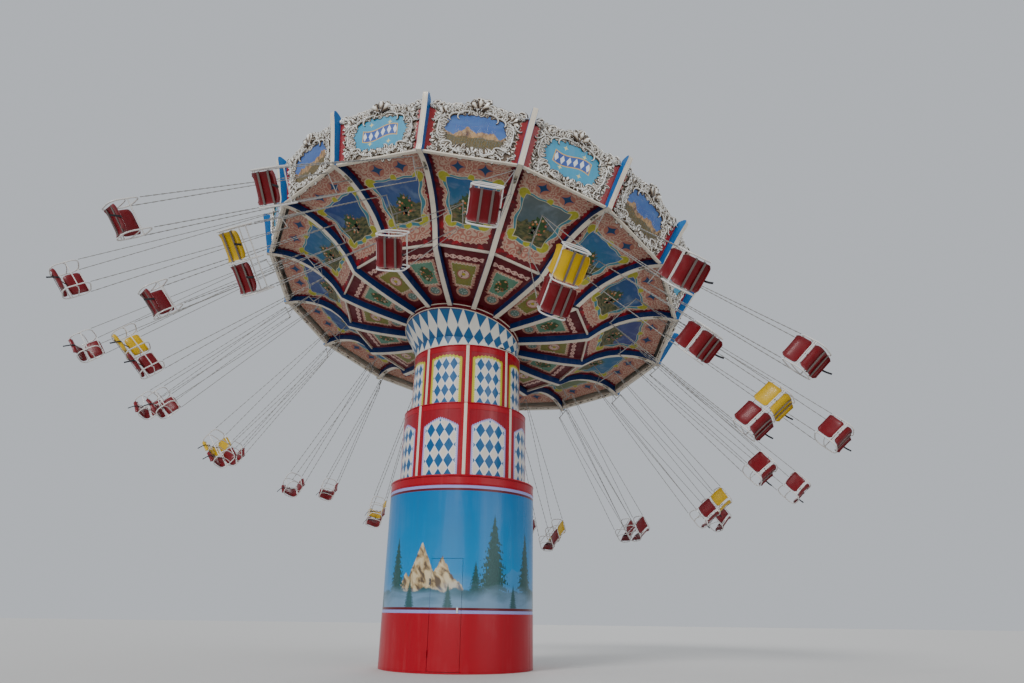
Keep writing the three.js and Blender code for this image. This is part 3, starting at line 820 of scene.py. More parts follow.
@dataclass(frozen=True)
class FasciaPaint(Finish):
    """Fascia board: a picture window behind the relief, and red scalloped strips beside the posts."""

    centre: float = 0.55
    half: tuple[float, float] = (0.56, 0.32)

    def banner(self, g: Graph, x: Field, up: Field) -> Any:
        """A sky-blue field with a blue ribbon that carries a row of white lozenges, edged in ochre.

        Args:
            g: Writes the nodes.
            x: Metres across.
            up: Metres up from the middle.

        Returns:
            The painted colour.
        """
        plain = g.mix(g.noise(g.at(x, up), 2.5, 3.0), (0.006, 0.17, 0.32), (0.02, 0.27, 0.42))
        wave = up - x.wave(0.86) * 0.045
        ribbon = (x.abs() - 0.36).most(wave.abs() - 0.1)
        row = diamond(x, wave + 0.13, 0.13, 0.26) + 0.3
        star = lens(x.abs() - 0.2, up.abs() - 0.2) - 0.26
        return g.layers(
            plain, ((ribbon - 0.02).under(), (0.5, 0.3, 0.05)), (ribbon.under(), (0.004, 0.05, 0.26)),
            (row.under(0.06) * ribbon.under(), (0.6, 0.62, 0.64)), (star.under(0.03), (0.55, 0.5, 0.2)))

    def lake(self, g: Graph, x: Field, up: Field, bay: Field) -> Any:
        """A mountain lake: sky, ridge and bank, each with its own noise.

        Args:
            g: Writes the nodes.
            x: Metres across.
            up: Metres up from the middle.
            bay: Number of the bay.

        Returns:
            The painted colour.
        """
        cloud = g.noise(g.at(x, up * 2.0, bay), 3.0, 5.0, 0.5)
        sky = g.mix(cloud, (0.008, 0.05, 0.24), (0.09, 0.17, 0.38))
        ridge = (up - (g.noise(g.at(x, bay), 3.6, 7.0) - 0.5) * 0.6).under(0.01)
        stone = g.ramp(g.noise(g.at(x * 2.0, up, bay), 8.0, 5.0), (0.35, (0.1, 0.05, 0.025)),
                       (0.6, (0.4, 0.24, 0.1)))
        bank = (up + 0.12 - (g.noise(g.at(x, bay, 3.0), 4.0, 5.0) - 0.5) * 0.3).under(0.01)
        grass = g.mix(g.noise(g.at(x, up), 24.0, 4.0), (0.014, 0.03, 0.006), (0.2, 0.12, 0.04))
        return g.layers(sky, (ridge, stone), (bank, grass))

    def pattern(self, g: Graph) -> Any:
        """Windows alternate between a mountain lake and a ribbon on sky blue, on a dark ground that is
        painted shade behind the relief.

        The window is where (x / a)**4 + (y / b)**4 stays below 1.25, with a and b its half width and
        half height; a scalloped red strip runs along both posts.

        Args:
            g: Writes the nodes.

        Returns:
            The painted colour.
        """
        x, y = g.uv("Panel")
        edge, bay = g.uv("Span")
        up = y - self.centre
        odd = ((bay * 0.5).fract() - 0.25).under(0.01)
        # The dark ground between the carvings is painted shade.
        board = g.mix(g.noise(g.at(x, y), 8.0), (0.05, 0.03, 0.02), (0.2, 0.14, 0.09))
        window = ((x / self.half[0]).op("POWER", 4.0) + (up / self.half[1]).op("POWER", 4.0)) - 1.25
        strip = edge - 0.12 - y.wave(0.075) * 0.016
        picture = g.mix(odd, self.banner(g, x, up), self.lake(g, x, up, bay))
        return g.layers(board, (window.under(0.05), picture), (strip.under(), (0.25, 0.0012, 0.005)),
                        ((strip.abs() - 0.006).under(), (0.56, 0.4, 0.32)))


@dataclass(frozen=True)
class ReliefPaint(Finish):
    """Carved ornament: pale crests over dark hollows, painted highlight and painted shade by the height of
    each point.
    """

    def pattern(self, g: Graph) -> Any:
        """Colour by the Mark attribute, from painted shade in the hollows to painted highlight on the crests,
        broken by noise.

        Args:
            g: Writes the nodes.

        Returns:
            The painted colour.
        """
        mark = g.node("ShaderNodeAttribute", attribute_name="Mark")
        height = Field(g, mark.outputs["Fac"]) + (g.noise(g.place(), 9.0, 3.0) - 0.5) * 0.4
        # The ramp paints shade near black in the hollows and highlight near white on the crests.
        return g.ramp(height, (0.24, (0.018, 0.01, 0.008)), (0.46, (0.13, 0.085, 0.05)),
                      (0.62, (0.5, 0.46, 0.38)), (0.85, (0.84, 0.84, 0.82)))


@dataclass(frozen=True)
class ShellPaint(Finish):
    """Moulded seat shell: gloss gelcoat, paler on its rim."""

    def pattern(self, g: Graph) -> Any:
        """Mixes towards a paler tone where the Mark attribute nears one.

        Args:
            g: Writes the nodes.

        Returns:
            The painted colour.
        """
        mark = g.node("ShaderNodeAttribute", attribute_name="Mark")
        paler_share = Field(g, mark.outputs["Fac"]) * 0.3 + (g.noise(g.place(), 12.0, 3.0) - 0.55) * 0.2
        pale = tuple(0.5 * c + 0.16 for c in self.colour)
        return g.mix(paler_share.most(0.0), self.colour, pale)


@dataclass(frozen=True)
class SheetPaint(Finish):
    """Grey roof sheet in two close tones."""

    def pattern(self, g: Graph) -> Any:
        """Slow patches of two greys."""
        return g.mix(g.noise(g.place(), 1.1, 5.0), (0.3, 0.29, 0.27), (0.44, 0.42, 0.38))


WHITE_COAT = Finish("white enamel", (0.6, 0.54, 0.44), 0.4, 0.5)
RED_COAT = Finish("red enamel", RED, 0.3, 0.3, coat=0.08, mirror=0.2)
DARK_RED_COAT = Finish("crimson enamel", DEEP_RED, 0.4, 0.3, coat=0.0, mirror=0.2)
BLUE_COAT = Finish("blue enamel", (0.002, 0.1, 0.3), 0.35, 0.3, coat=0.05, mirror=0.25)
NAVY_COAT = Finish("navy enamel", (0.003, 0.022, 0.1), 0.4, 0.3, coat=0.0, mirror=0.25)
CREAM_COAT = Finish("cream enamel", CREAM, 0.38, 0.4)
STEEL_COAT = Finish("structural steel", (0.1, 0.105, 0.11), 0.5, 0.6, 0.35, 0.0)
# Near-black paint on the slot boxes is painted shade inside the slots.
SLOT_SHADE_COAT = Finish("dark recess", (0.01, 0.01, 0.012), 0.7, 0.3, coat=0.0)
TUBE_COAT = Finish("white tube", (0.6, 0.58, 0.55), 0.35, 0.35)
CHAIN_COAT = Finish("galvanised chain", (0.28, 0.27, 0.25), 0.45, 0.35, 0.35, 0.0)
STRAP_COAT = Finish("dark webbing", (0.015, 0.015, 0.018), 0.75, 0.2, coat=0.0, bump=0.4)
BAND_COAT = Finish("grey webbing", (0.13, 0.105, 0.095), 0.6, 0.4, coat=0.0, bump=0.4)
MURAL_COAT = MuralPaint("mural", roughness=0.3, dirt=0.25, coat=0.1, mirror=0.25)
MIDDLE_COAT = DrumPanelPaint("middle drum panels", roughness=0.3, dirt=0.3, coat=0.05, mirror=0.25)
UPPER_COAT = DrumPanelPaint("upper drum panels", roughness=0.3, dirt=0.3, arch=Arch.SCALLOP, half=0.35,
                            sill=5.02, head=6.1, cell=(0.176, 0.285))
COLLAR_COAT = CollarPaint("collar lozenges", roughness=0.32)
SCENE_COAT = CeilingScenePaint("ceiling scenes", roughness=0.5, dirt=0.3, coat=0.0)
CARTOUCHE_COAT = CeilingCartouchePaint("ceiling cartouches", roughness=0.5, dirt=0.3, coat=0.0)
FASCIA_COAT = FasciaPaint("fascia board", roughness=0.36)
RELIEF_COAT = ReliefPaint("carved relief", roughness=0.28, dirt=0.3, coat=0.2, bump=0.2)
RED_SHELL = ShellPaint("red seat shell", (0.14, 0.0003, 0.004), 0.36, 0.2, coat=0.05, mirror=0.22)
YELLOW_SHELL = ShellPaint("yellow seat shell", (0.5, 0.31, 0.001), 0.34, 0.25, coat=0.05, mirror=0.22)
ROOF_COAT = SheetPaint("roof sheet", roughness=0.5, coat=0.0)
FLOOR_COAT = Finish("studio floor", (0.56, 0.55, 0.53), 0.7, 0.05, coat=0.0, bump=0.0)


class Piece:
    """Gathers patches of a surface and makes one mesh of them."""

    def __init__(self, name: str, body: str, *finishes: Finish) -> None:
        """Starts an empty piece that rides on a body and wears the given finishes.

        Args:
            name: Its name in the scene.
            body: The body that it rides on.
            finishes: Its finishes, in the order of their numbers.
        """
        self.name = name
        self.body = body
        self.finishes = finishes
        self.points: list[Array] = []
        self.marks: list[Array] = []
        self.faces: list[Array] = []
        self.maps: dict[str, list[Array]] = {"Panel": [], "Span": []}
        self.coats: list[Array] = []
        self.count = 0

    def _keep(self, flat: Array, mark: Any, shape: tuple[int, ...]) -> int:
        """Stores points and their marks, and gives the number of the first one.

        Args:
            flat: Points (n, 3).
            mark: Their Mark value.
            shape: Shape that the value is spread to.

        Returns:
            The first point's number.
        """
        start = self.count
        self.points.append(flat)
        self.marks.append(np.broadcast_to(np.asarray(mark, float), shape).reshape(-1))
        self.count += len(flat)
        return start

    def grid(self, points: Array, coat: Any = 0, panel: Array | None = None, span: Array | None = None,
             wrap_u: bool = False, wrap_v: bool = False, mark: Any = 0.0) -> None:
        """Adds one grid, or a batch of them, as quads.

        Args:
            points: Array (..., m, n, 3); the leading axes are a batch.
            coat: Number of the finish, or an array of them over the faces.
            panel: First map over the corners, (..., m or m + 1, n or n + 1, 2).
            span: Second map, shaped like the first.
            wrap_u: Joins the last row to the first.
            wrap_v: Joins the last column to the first.
            mark: Value of the Mark attribute, broadcast over the points.
        """
        m, n = points.shape[-3:-1]
        batch = points.reshape(-1, m, n, 3)
        start = self._keep(batch.reshape(-1, 3), mark, points.shape[:-1])
        rows, columns = np.arange(m if wrap_u else m - 1), np.arange(n if wrap_v else n - 1)
        i, j = np.meshgrid(rows, columns, indexing="ij")
        corners = [(i, j), (i + 1, j), (i + 1, j + 1), (i, j + 1)]
        quads = np.stack([(a % m) * n + b % n for a, b in corners], -1).reshape(-1, 4)
        offsets = start + np.arange(len(batch)) * m * n
        self.faces.append((quads[None] + offsets[:, None, None]).reshape(-1, 4))
        self.coats.append(np.broadcast_to(coat, (len(batch), *i.shape)).reshape(-1))
        for name, given in (("Panel", panel), ("Span", span)):
            if given is None:
                self.maps[name].append(np.zeros((len(batch) * i.size * 4, 2)))
                continue
            full = np.broadcast_to(given, (*points.shape[:-3], *given.shape[-3:]))
            full = full.reshape(-1, *given.shape[-3:])
            self.maps[name].append(np.stack([full[:, a, b] for a, b in corners], -2).reshape(-1, 2))

    def cap(self, rings: Array, coat: int = 0, mark: float = 0.0) -> None:
        """Closes rings of points (..., k, 3) with one flat face each.

        Args:
            rings: Corners (..., n, 3) of the faces.
            coat: Number of the finish.
            mark: Value of the Mark attribute.
        """
        k = rings.shape[-2]
        flat = rings.reshape(-1, 3)
        start = self._keep(flat, mark, (len(flat),))
        faces = start + np.arange(len(flat)).reshape(-1, k)
        self.faces.append(faces)
        self.coats.append(np.full(len(faces), coat))
        for name in self.maps:
            self.maps[name].append(np.zeros((len(flat), 2)))

    def loft(self, sections: Array, coat: Any = 0, ends: Sequence[int] = (0, -1), **maps: Array) -> None:
        """Adds a closed bar from its sections (..., m, n, 3), capped at the given ends.

        Args:
            sections: Closed sections (..., m, n, 3).
            coat: Number of the finish.
            ends: Sections that get a face.
            maps: Further arguments of grid.
        """
        self.grid(sections, coat, wrap_v=True, **maps)
        tone = coat if np.isscalar(coat) else int(np.asarray(coat).reshape(-1)[0])
        for end in ends:
            self.cap(sections[..., end, :, :], tone)

    def build(self, replaces: Sequence[str] = (), slot: str = "", crease: float = 35.0) -> bpy.types.Object:
        """Makes the mesh, joins its seams, turns its faces outward and dresses it.

        Args:
            replaces: CAD nodes that the piece stands for.
            slot: Material slot of the record; not used.
            crease: Edges sharper than this angle in degrees stay sharp.

        Returns:
            The finished object, riding on its body.
        """
        mesh = bpy.data.meshes.new(self.name)
        points = np.concatenate(self.points)
        totals = np.concatenate([np.full(len(f), f.shape[1]) for f in self.faces])
        corners = np.concatenate([f.reshape(-1) for f in self.faces])
        mesh.vertices.add(len(points))
        mesh.vertices.foreach_set("co", points.reshape(-1).astype(np.float32))
        mesh.loops.add(len(corners))
        mesh.loops.foreach_set("vertex_index", corners.astype(np.int32))
        mesh.polygons.add(len(totals))
        mesh.polygons.foreach_set("loop_start", np.r_[0, np.cumsum(totals)[:-1]].astype(np.int32))
        mesh.polygons.foreach_set("material_index", np.concatenate(self.coats).astype(np.int32))
        mesh.update(calc_edges=True)
        for name, parts in self.maps.items():
            layer = mesh.uv_layers.new(name=name)
            layer.data.foreach_set("uv", np.concatenate(parts).reshape(-1).astype(np.float32))
        mark = mesh.attributes.new("Mark", "FLOAT", "POINT")
        mark.data.foreach_set("value", np.concatenate(self.marks).astype(np.float32))
        work = bmesh.new()
        work.from_mesh(mesh)
        bmesh.ops.remove_doubles(work, verts=work.verts, dist=MERGE)
        bmesh.ops.recalc_face_normals(work, faces=work.faces)
        work.to_mesh(mesh)
        work.free()
        for finish in self.finishes:
            mesh.materials.append(finish.material())
        mesh.shade_smooth()
        mesh.set_sharp_from_angle(angle=math.radians(crease))
        made = bpy.data.objects.new(self.name, mesh)
        bpy.context.scene.collection.objects.link(made)
        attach(made, self.body)
        if replaces:
            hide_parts(*replaces)
        LOG.info("%s: %d faces", self.name, len(mesh.polygons))
        return made


def unit(vectors: Array) -> Array:
    """Scales vectors to length one along the last axis."""
    return vectors / np.maximum(np.linalg.norm(vectors, axis=-1, keepdims=True), 1e-12)


def ring_section(radius: Any, sides: int) -> Array:
    """Corners of a circle, (radius cos t, radius sin t), as an array (sides, 2)."""
    turn = np.linspace(0, FULL_TURN, sides, endpoint=False)
    return np.stack([np.cos(turn), np.sin(turn)], -1) * radius


def sweep(path: Array, section: Array, up: Array, scale: Any = 1.0, closed: bool = False) -> Array:
    """Carries a section along paths.

    Each point is path + s (x side + y rise), where side is the path's direction crossed with up and
    rise stands square to both.

    Args:
        path: Points (..., k, 3).
        section: Outline (c, 2), or (k, c, 2) where it changes along the path.
        up: Reference direction, broadcast against the path.
        scale: Factor s, broadcast over (..., k).
        closed: The path runs back to its start.

    Returns:
        Sections (..., k, c, 3).
    """
    if closed:
        tangent = unit(np.roll(path, -1, -2) - np.roll(path, 1, -2))
    else:
        tangent = unit(np.gradient(path, axis=-2))
    side = unit(np.cross(tangent, np.broadcast_to(up, path.shape)))
    rise = np.cross(side, tangent)
    size = np.broadcast_to(scale, path.shape[:-1])[..., None, None]
    x, y = section[..., 0, None], section[..., 1, None]
    return path[..., None, :] + size * (x * side[..., None, :] + y * rise[..., None, :])


def polar(radius: Any, angle: Any, height: Any) -> Array:
    """Points at a radius and angle round Z, stacked on the last axis."""
    radius, angle, height = np.broadcast_arrays(radius, angle, height)
    return np.stack([radius * np.cos(angle), radius * np.sin(angle), height], -1)


def half_round(radius: float, height: float, size: float) -> Array:
    """Outer half of a circle of some size round (radius, height), from its foot up, as 7 points."""
    turn = np.linspace(-np.pi / 2, np.pi / 2, 7)
    return np.stack([radius + size * np.cos(turn), height + size * np.sin(turn)], -1)


def smooth_curve(knots: Array, t: Array) -> Array:
    """Cubic through knots (k, d) at parameters t in 0..1, with slopes from their neighbours.

    Each span is the Hermite blend h00 p0 + h10 m0 + h01 p1 + h11 m1 of its end points and slopes.

    Args:
        knots: Points (k, d).
        t: Places along the curve, from 0 to 1.

    Returns:
        Points (n, d).
    """
    knots = np.asarray(knots, float)
    slopes = np.gradient(knots, axis=0)
    place = np.clip(np.asarray(t) * (len(knots) - 1), 0, len(knots) - 1.000001)
    i = place.astype(int)
    f = (place - i)[..., None]
    h00 = (1 + 2 * f) * (1 - f) ** 2
    h10 = f * (1 - f) ** 2
    h01 = f * f * (3 - 2 * f)
    h11 = f * f * (f - 1)
    return h00 * knots[i] + h10 * slopes[i] + h01 * knots[i + 1] + h11 * slopes[i + 1]


def rounded_loop(half: tuple[float, float], corner: float, steps: int = 5) -> Array:
    """Rectangle with round corners as a closed loop of points (4 * steps, 2).

    Args:
        half: Half width and half height.
        corner: Radius of the corners.
        steps: Points on each corner.

    Returns:
        Points (n, 2).
    """
    turn = np.linspace(0, np.pi / 2, steps)
    arcs = []
    for quarter, (sx, sy) in enumerate(((1, 1), (-1, 1), (-1, -1), (1, -1))):
        angle = turn + quarter * np.pi / 2
        centre = np.array([sx * (half[0] - corner), sy * (half[1] - corner)])
        arcs.append(centre + corner * np.stack([np.cos(angle), np.sin(angle)], -1))
    return np.concatenate(arcs)


def border(points: Array) -> Array:
    """Edge of grids (..., m, n, 3) as closed loops of points, once round."""
    return np.concatenate([points[..., 0, :, :], points[..., 1:, -1, :], points[..., -1, -2::-1, :],
                           points[..., -2:0:-1, 0, :]], -2)


def sector(piece: Piece, outline: Array, angles: Array, coat: Any = 0, panel_origin: Any = None,
           closed: bool = False, ends: Sequence[int] = (0, -1)) -> None:
    """Turns a closed outline of (radius, height) about Z over the given angles.

    Args:
        piece: Receives the surface.
        outline: Corners (c, 2), in order round the section.
        angles: Stations (..., n) in radians.
        coat: Finish, or one for each side of the outline.
        panel_origin: Angle at which the Panel map is zero, (...,); None leaves the maps out.
        closed: The angles run the whole way round.
        ends: Ends that are capped where the angles don't close.
    """
    outline = np.asarray(outline, float)
    points = polar(outline[:, 0], angles[..., None], outline[:, 1])
    maps = {}
    if panel_origin is not None:
        loop = np.concatenate([outline, outline[:1]])
        turn = angles - np.asarray(panel_origin)[..., None]
        if closed:
            turn = np.concatenate([turn, turn[..., :1] + FULL_TURN], -1)
        reach = outline[:, 0].max()
        across = np.broadcast_to(turn[..., None] * reach, (*turn.shape, len(loop)))
        maps["panel"] = np.stack([across, np.broadcast_to(loop[:, 1], across.shape)], -1)
    if closed:
        piece.grid(points, coat, wrap_u=True, wrap_v=True, **maps)
    else:
        piece.loft(points, coat, ends, **maps)


@dataclass
class BaseDrum:
    """The standing drum: plinth, mural wall with its doorway, top band and service door."""

    radius: float = 1.5
    inner: float = 1.44
    plinth_top: float = 0.99
    wall_top: float = 3.29
    top: float = 3.5
    bore: float = 1.3273
    inset: float = 0.006
    bead: float = 0.012
    lip: float = 0.022
    front: float = math.radians(-90)
    door_from: float = math.radians(-110.5)
    door_to: float = math.radians(-87.7)
    door_sill: float = 0.03
    door_top: float = 1.94
    door_gap: float = math.radians(0.2)
    door_play: float = 0.005
    door_inner: float = 1.446
    hinge_radius: float = 1.517
    hinge_turn: float = math.radians(0.3)
    hinge_half: float = 0.025
    knuckle: float = 0.013
    frame_hinges: tuple[float, float] = (0.3, 1.5)
    door_hinges: tuple[float, float] = (0.3603, 1.5603)
    latch_height: float = 1.045
    latch_turn: float = math.radians(3)

    def arc(self, start: float, end: float, step: float = 2.0) -> Array:
        """Angles from start to end about a step of so many degrees apart."""
        return np.linspace(start, end, max(2, int(abs(end - start) / math.radians(step)) + 1))

    def section(self, inner: float, outer: float, low: float, high: float, bevel: float = 0.004) -> Array:
        """Rectangle with its outer corners eased."""
        return np.array([[inner, low], [outer - bevel, low], [outer, low + bevel], [outer, high - bevel],
                         [outer - bevel, high], [inner, high]])

    def hinge(self, piece: Piece, height: float, coat: int) -> None:
        """Adds one half of a hinge: a knuckle on the door's axis, and the leaf that carries it.

        Args:
            piece: Receives the hinge.
            height: Height of its middle.
            coat: Number of its finish.
        """
        angle, half = self.door_from - self.hinge_turn, self.hinge_half
        path = polar(self.hinge_radius, angle, height) + np.array(
            [[0, 0, rise] for rise in (-half - 0.004, -half, half, half + 0.004)])
        piece.loft(sweep(path, ring_section(self.knuckle, 14), np.array([1.0, 0, 0]),
                         np.array([0.7, 1.0, 1.0, 0.7])), coat)
        reach = np.array([[self.radius - 0.01, self.hinge_radius]] * 2)
        leaf = polar(reach, angle + np.array([[-0.004], [0.004]]), height)
        corners = np.stack([leaf + [0, 0, -half], leaf + [0, 0, half]]).reshape(2, 4, 3)
        piece.loft(corners[:, [0, 1, 3, 2]], coat)

    def build_plinth(self) -> None:
        """Red plinth, open where the door stands."""
        piece = Piece("plinth_red", "base", RED_COAT, STEEL_COAT)
        red, steel = range(2)
        sill = self.section(self.inner, self.radius, 0, self.door_sill, 0.002)
        coats = np.array([steel, red, red, red, steel, steel])
        sector(piece, sill, self.arc(0, FULL_TURN)[:-1], coats, closed=True)
        wall = self.section(self.inner, self.radius, self.door_sill, self.plinth_top)
        sector(piece, wall, self.arc(self.door_to, self.door_from + FULL_TURN), red)
        self.hinge(piece, self.frame_hinges[0], red)
        piece.build(["base_plinth"], "red_paint")

    def build_wall(self) -> None:
        """Mural wall in two courses, the lower one open at the door."""
        piece = Piece("mural_wall", "base", MURAL_COAT, STEEL_COAT)
        mural, steel = range(2)
        radius = self.radius - self.inset
        start, end = self.front - math.pi, self.front + math.pi
        lower = self.section(self.inner, radius, self.plinth_top, self.door_top, 0.001)
        sector(piece, lower, self.arc(self.door_to, end), mural, self.front, ends=(0,))
        sector(piece, lower, self.arc(start, self.door_from), mural, self.front, ends=(-1,))
        upper = self.section(self.inner, radius, self.door_top, self.wall_top, 0.001)
        sector(piece, upper, self.arc(start, end)[:-1], mural, self.front, closed=True)
        self.hinge(piece, self.frame_hinges[1], steel)
        piece.build(["base_wall"], "mural_blue")

    def build_band(self) -> None:
        """Rolled red band that closes the drum's top."""
        piece = Piece("base_band", "base", RED_COAT)
        bead = half_round(self.radius - self.bead, self.wall_top + self.bead, self.bead)
        lip = half_round(self.radius - 0.02, self.top - self.lip, self.lip)
        face = self.radius - self.inset
        outline = np.concatenate([
            [[self.bore, self.wall_top]], bead, [[face, self.wall_top + 0.03], [face, self.top - 0.05]],
            lip, [[self.bore, self.top]]])
        sector(piece, outline, self.arc(0, FULL_TURN)[:-1], 0, closed=True)
        piece.build(["base_top_band"], "red_paint")

    def build_door(self) -> None:
        """Curved service door that carries on the mural and the plinth, with hinges and a latch."""
        piece = Piece("service_door", "door", MURAL_COAT, RED_COAT, TUBE_COAT, STEEL_COAT)
        mural, red, tube, steel = range(4)
        angles = self.arc(self.door_from + self.door_gap, self.door_to - self.door_gap)
        split = self.plinth_top
        for low, high, coat in ((self.door_sill + self.door_play, split, red),
                                (split, self.door_top - self.door_play, mural)):
            leaf = self.section(self.door_inner, self.radius - self.door_play, low, high, 0.002)
            sector(piece, leaf, angles, coat, self.front)
        self.hinge(piece, self.door_hinges[0], red)
        self.hinge(piece, self.door_hinges[1], steel)
        # A plate, and the knob on it: half width, half height, and where each starts and ends.
        for half, tall, near, far in ((0.016, 0.045, 1.49, 1.503), (0.009, 0.012, 1.5, 1.515)):
            turns = self.door_to - self.latch_turn + np.array([-1, 1, 1, -1]) * half / self.radius
            heights = self.latch_height + np.array([-1, -1, 1, 1]) * tall
            piece.loft(np.stack([polar(near, turns, heights), polar(far, turns, heights)]), tube)
        piece.build(["base_door"], "mural_blue")

    def build(self) -> None:
        """Builds every piece of the base."""
        self.build_plinth()
        self.build_wall()
        self.build_band()
        self.build_door()


@dataclass
class LiftingDrum:
    """One of the two drums that rise out of the base."""

    name: str
    radius: float
    low: float
    wall_top: float
    top: float
    paint: Finish
    skin: float = 0.03
    proud: float = 0.012
    panels: int = 8
    post_half: float = math.radians(3.75)
    strip_half: float = 0.032
    strip_thick: float = 0.008
    foot: float = 0.06
    lip: float = 0.014
    bed: float = 0.002
    ease: float = 0.004
    guide_bore: float = 1.1873
    guide_rise: tuple[float, float] = (4.64, 4.69)

    def centres(self, turn: float = 0.0) -> Array:
        """Angles of the posts, or of the panels when turned by half a panel."""
        return np.radians(-90 + 45 * (np.arange(self.panels) + turn))

    def build_wall(self) -> None:
        """Eight painted panels that meet behind the posts; the middle drum also has a guide ring."""
        piece = Piece(f"{self.name}_panels", f"{self.name}_drum", self.paint, STEEL_COAT)
        centre = self.centres(0.5)
        angles = centre[:, None] + np.linspace(-np.pi / 8, np.pi / 8, 17)
        inner = self.radius - self.skin
        wall = [[inner, self.low], [self.radius, self.low], [self.radius, self.wall_top],
                [inner, self.wall_top]]
        sector(piece, np.array(wall), angles, 0, centre)
        if self.name == "middle":
            low, high = self.guide_rise
            guide = [[self.guide_bore, low], [inner, low], [inner, high], [self.guide_bore, high]]
            sector(piece, np.array(guide), np.linspace(0, FULL_TURN, 97)[:-1], 1, closed=True)
        piece.build([f"{self.name}_wall"], "lozenge_paint")

    def strip(self, piece: Piece, outline: Array, turns: Array, ease: Array, coat: int) -> None:
        """Lays an upright strip on every post.

        Args:
            piece: Receives the strips.
            outline: Corners (4, 2) of radius and height, the outer ones second and third.
            turns: Angles (n,) across the strip, from the post's middle.
            ease: How far the outer face is moved out at each of them (n,).
            coat: Number of the finish.
        """
        outer = np.array([0.0, 1.0, 1.0, 0.0])
        angles = self.centres()[:, None] + turns
        piece.loft(polar(outline[:, 0] + outer * ease[:, None], angles[..., None], outline[:, 1]), coat)

    def build_frame(self) -> None:
        """Posts with their white strips, the top band and the foot ring."""
        piece = Piece(f"{self.name}_posts", f"{self.name}_drum", RED_COAT, WHITE_COAT)
        red, white = range(2)
        radius, low, face, inner = self.radius, self.low, self.radius + self.proud, self.radius - self.skin
        near, far, foot, head = radius - self.bed, face - self.ease, low + 0.05, self.wall_top + 0.01
        post = np.array([[near, foot], [far, foot], [far, head], [near, head]])
        self.strip(piece, post, self.post_half * np.array([-1.0, -0.97, 0.0, 0.97, 1.0]),
                   np.array([-self.ease, 0.0, 0.0, 0.0, -self.ease]), red)
        near, foot, head = face - self.strip_thick, low + self.foot, self.top - 0.02
        trim = np.array([[near, foot], [face, foot], [face, head], [near, head]])
        half = self.strip_half / radius
        self.strip(piece, trim, np.array([-half, -half * 0.8, half * 0.8, half]),
                   np.array([-0.003, 0, 0, -0.003]), white)
        whole = np.linspace(0, FULL_TURN, 181)[:-1]
        lip = half_round(face - self.lip, self.top - 0.016, self.lip)
        band = np.concatenate([
            [[inner, self.wall_top], [face - 0.012, self.wall_top], [face - 0.006, self.wall_top + 0.006],
             [face - 0.006, self.top - 0.04]], lip, [[inner, self.top - 0.002]]])
        sector(piece, band, whole, red, closed=True)
        ring = [[radius, low], [face, low], [face, low + self.foot], [radius, low + self.foot]]
        sector(piece, np.array(ring), whole, red, closed=True)
        piece.build([f"{self.name}_frame"], "red_paint")

    def build(self) -> None:
        """Builds wall and frame."""
        self.build_wall()
        self.build_frame()


@dataclass
class CrownPlace:
    """The crown's leaning frame, read from its spin joint."""

    pivot: Array = field(default_factory=lambda: CrownPlace.joint("crown_spin", "pos_m"))
    axis: Array = field(default_factory=lambda: CrownPlace.joint("crown_spin", "axis"))
    first_rib: float = math.radians(-147.6)

    @staticmethod
    def joint(name: str, key: str) -> Array:
        """A vector of one of the frame's joints."""
        found = next(j for j in frame["joints"] if j["name"] == name)
        return np.array(found[key], float)

    def __post_init__(self) -> None:
        """Works out the crown's X and Y from world X."""
        along = unit(np.array([1.0, 0, 0]) - self.axis[0] * self.axis)
        self.matrix = np.stack([along, np.cross(self.axis, along), self.axis], 1)

    def world(self, local: Array) -> Array:
        """Takes points of the crown's frame to the world."""
        return self.pivot + local @ self.matrix.T

    def rib_angle(self, k: Any) -> Any:
        """Angle of rib k, or between ribs where k has a half."""
        return self.first_rib + np.asarray(k) * FULL_TURN / BAYS

    def bay_point(self, k: Array, s: Any, radius: Any, height: Any) -> Array:
        """A point on the flat panel of bay k.

        The panel spans from rib k (s = -1) to rib k + 1 (s = 1) at the given corner radius, along the
        straight chord between them.

        Args:
            k: Number of the bay.
            s: Place across it.
            radius: Corner radius.
            height: Height in the crown's frame.

        Returns:
            World points.
        """
        middle = self.rib_angle(np.asarray(k) + 0.5)
        radius, height, s, middle = np.broadcast_arrays(radius, height, s, middle)
        out, across = radius * COS_BAY, radius * SIN_BAY * s
        return self.world(np.stack([out * np.cos(middle) - across * np.sin(middle),
                                    out * np.sin(middle) + across * np.cos(middle), height], -1))


# Radius and height of the ribs' undersides and tops, from the hub out to the rim.
UNDERSIDE = np.array([
    [1.29, -0.84], [1.95, -0.778], [2.4, -0.712], [2.85, -0.622], [3.15, -0.345], [3.45, -0.155],
    [3.75, -0.03], [4.05, 0.045], [4.28, 0.072], [4.5, 0.058], [4.766, 0.0]])
RIB_TOP = np.array([
    [1.29, -0.69], [2.4, -0.562], [2.85, -0.472], [3.15, -0.195], [3.45, -0.005], [3.75, 0.12],
    [4.28, 0.222], [4.59, 0.19]])
KINK = 2.85    # radius of the sharp bend
ROUNDING = 0.06    # reach of the moving average in metres


def height_on(knots: Array, radius: Array) -> Array:
    """Height over the radius: the straight lines between knots, rounded by a short moving average.

    The average is taken over 60 mm either way, but not across the kink, where the bend is sharp.

    Args:
        knots: Radius and height (k, 2).
        radius: Where the height is wanted, any shape.

    Returns:
        Heights of the same shape as the radii.
    """
    offsets = np.linspace(-ROUNDING, ROUNDING, 9)
    inner = radius <= KINK
    shifted = radius[..., None] + offsets
    shifted = np.where(inner[..., None], np.minimum(shifted, KINK), np.maximum(shifted, KINK))
    shifted = np.clip(shifted, knots[0, 0], knots[-1, 0])
    smooth = np.interp(shifted, knots[:, 0], knots[:, 1]).mean(-1)
    return np.where(np.abs(radius - KINK) < ROUNDING, np.interp(radius, knots[:, 0], knots[:, 1]), smooth)


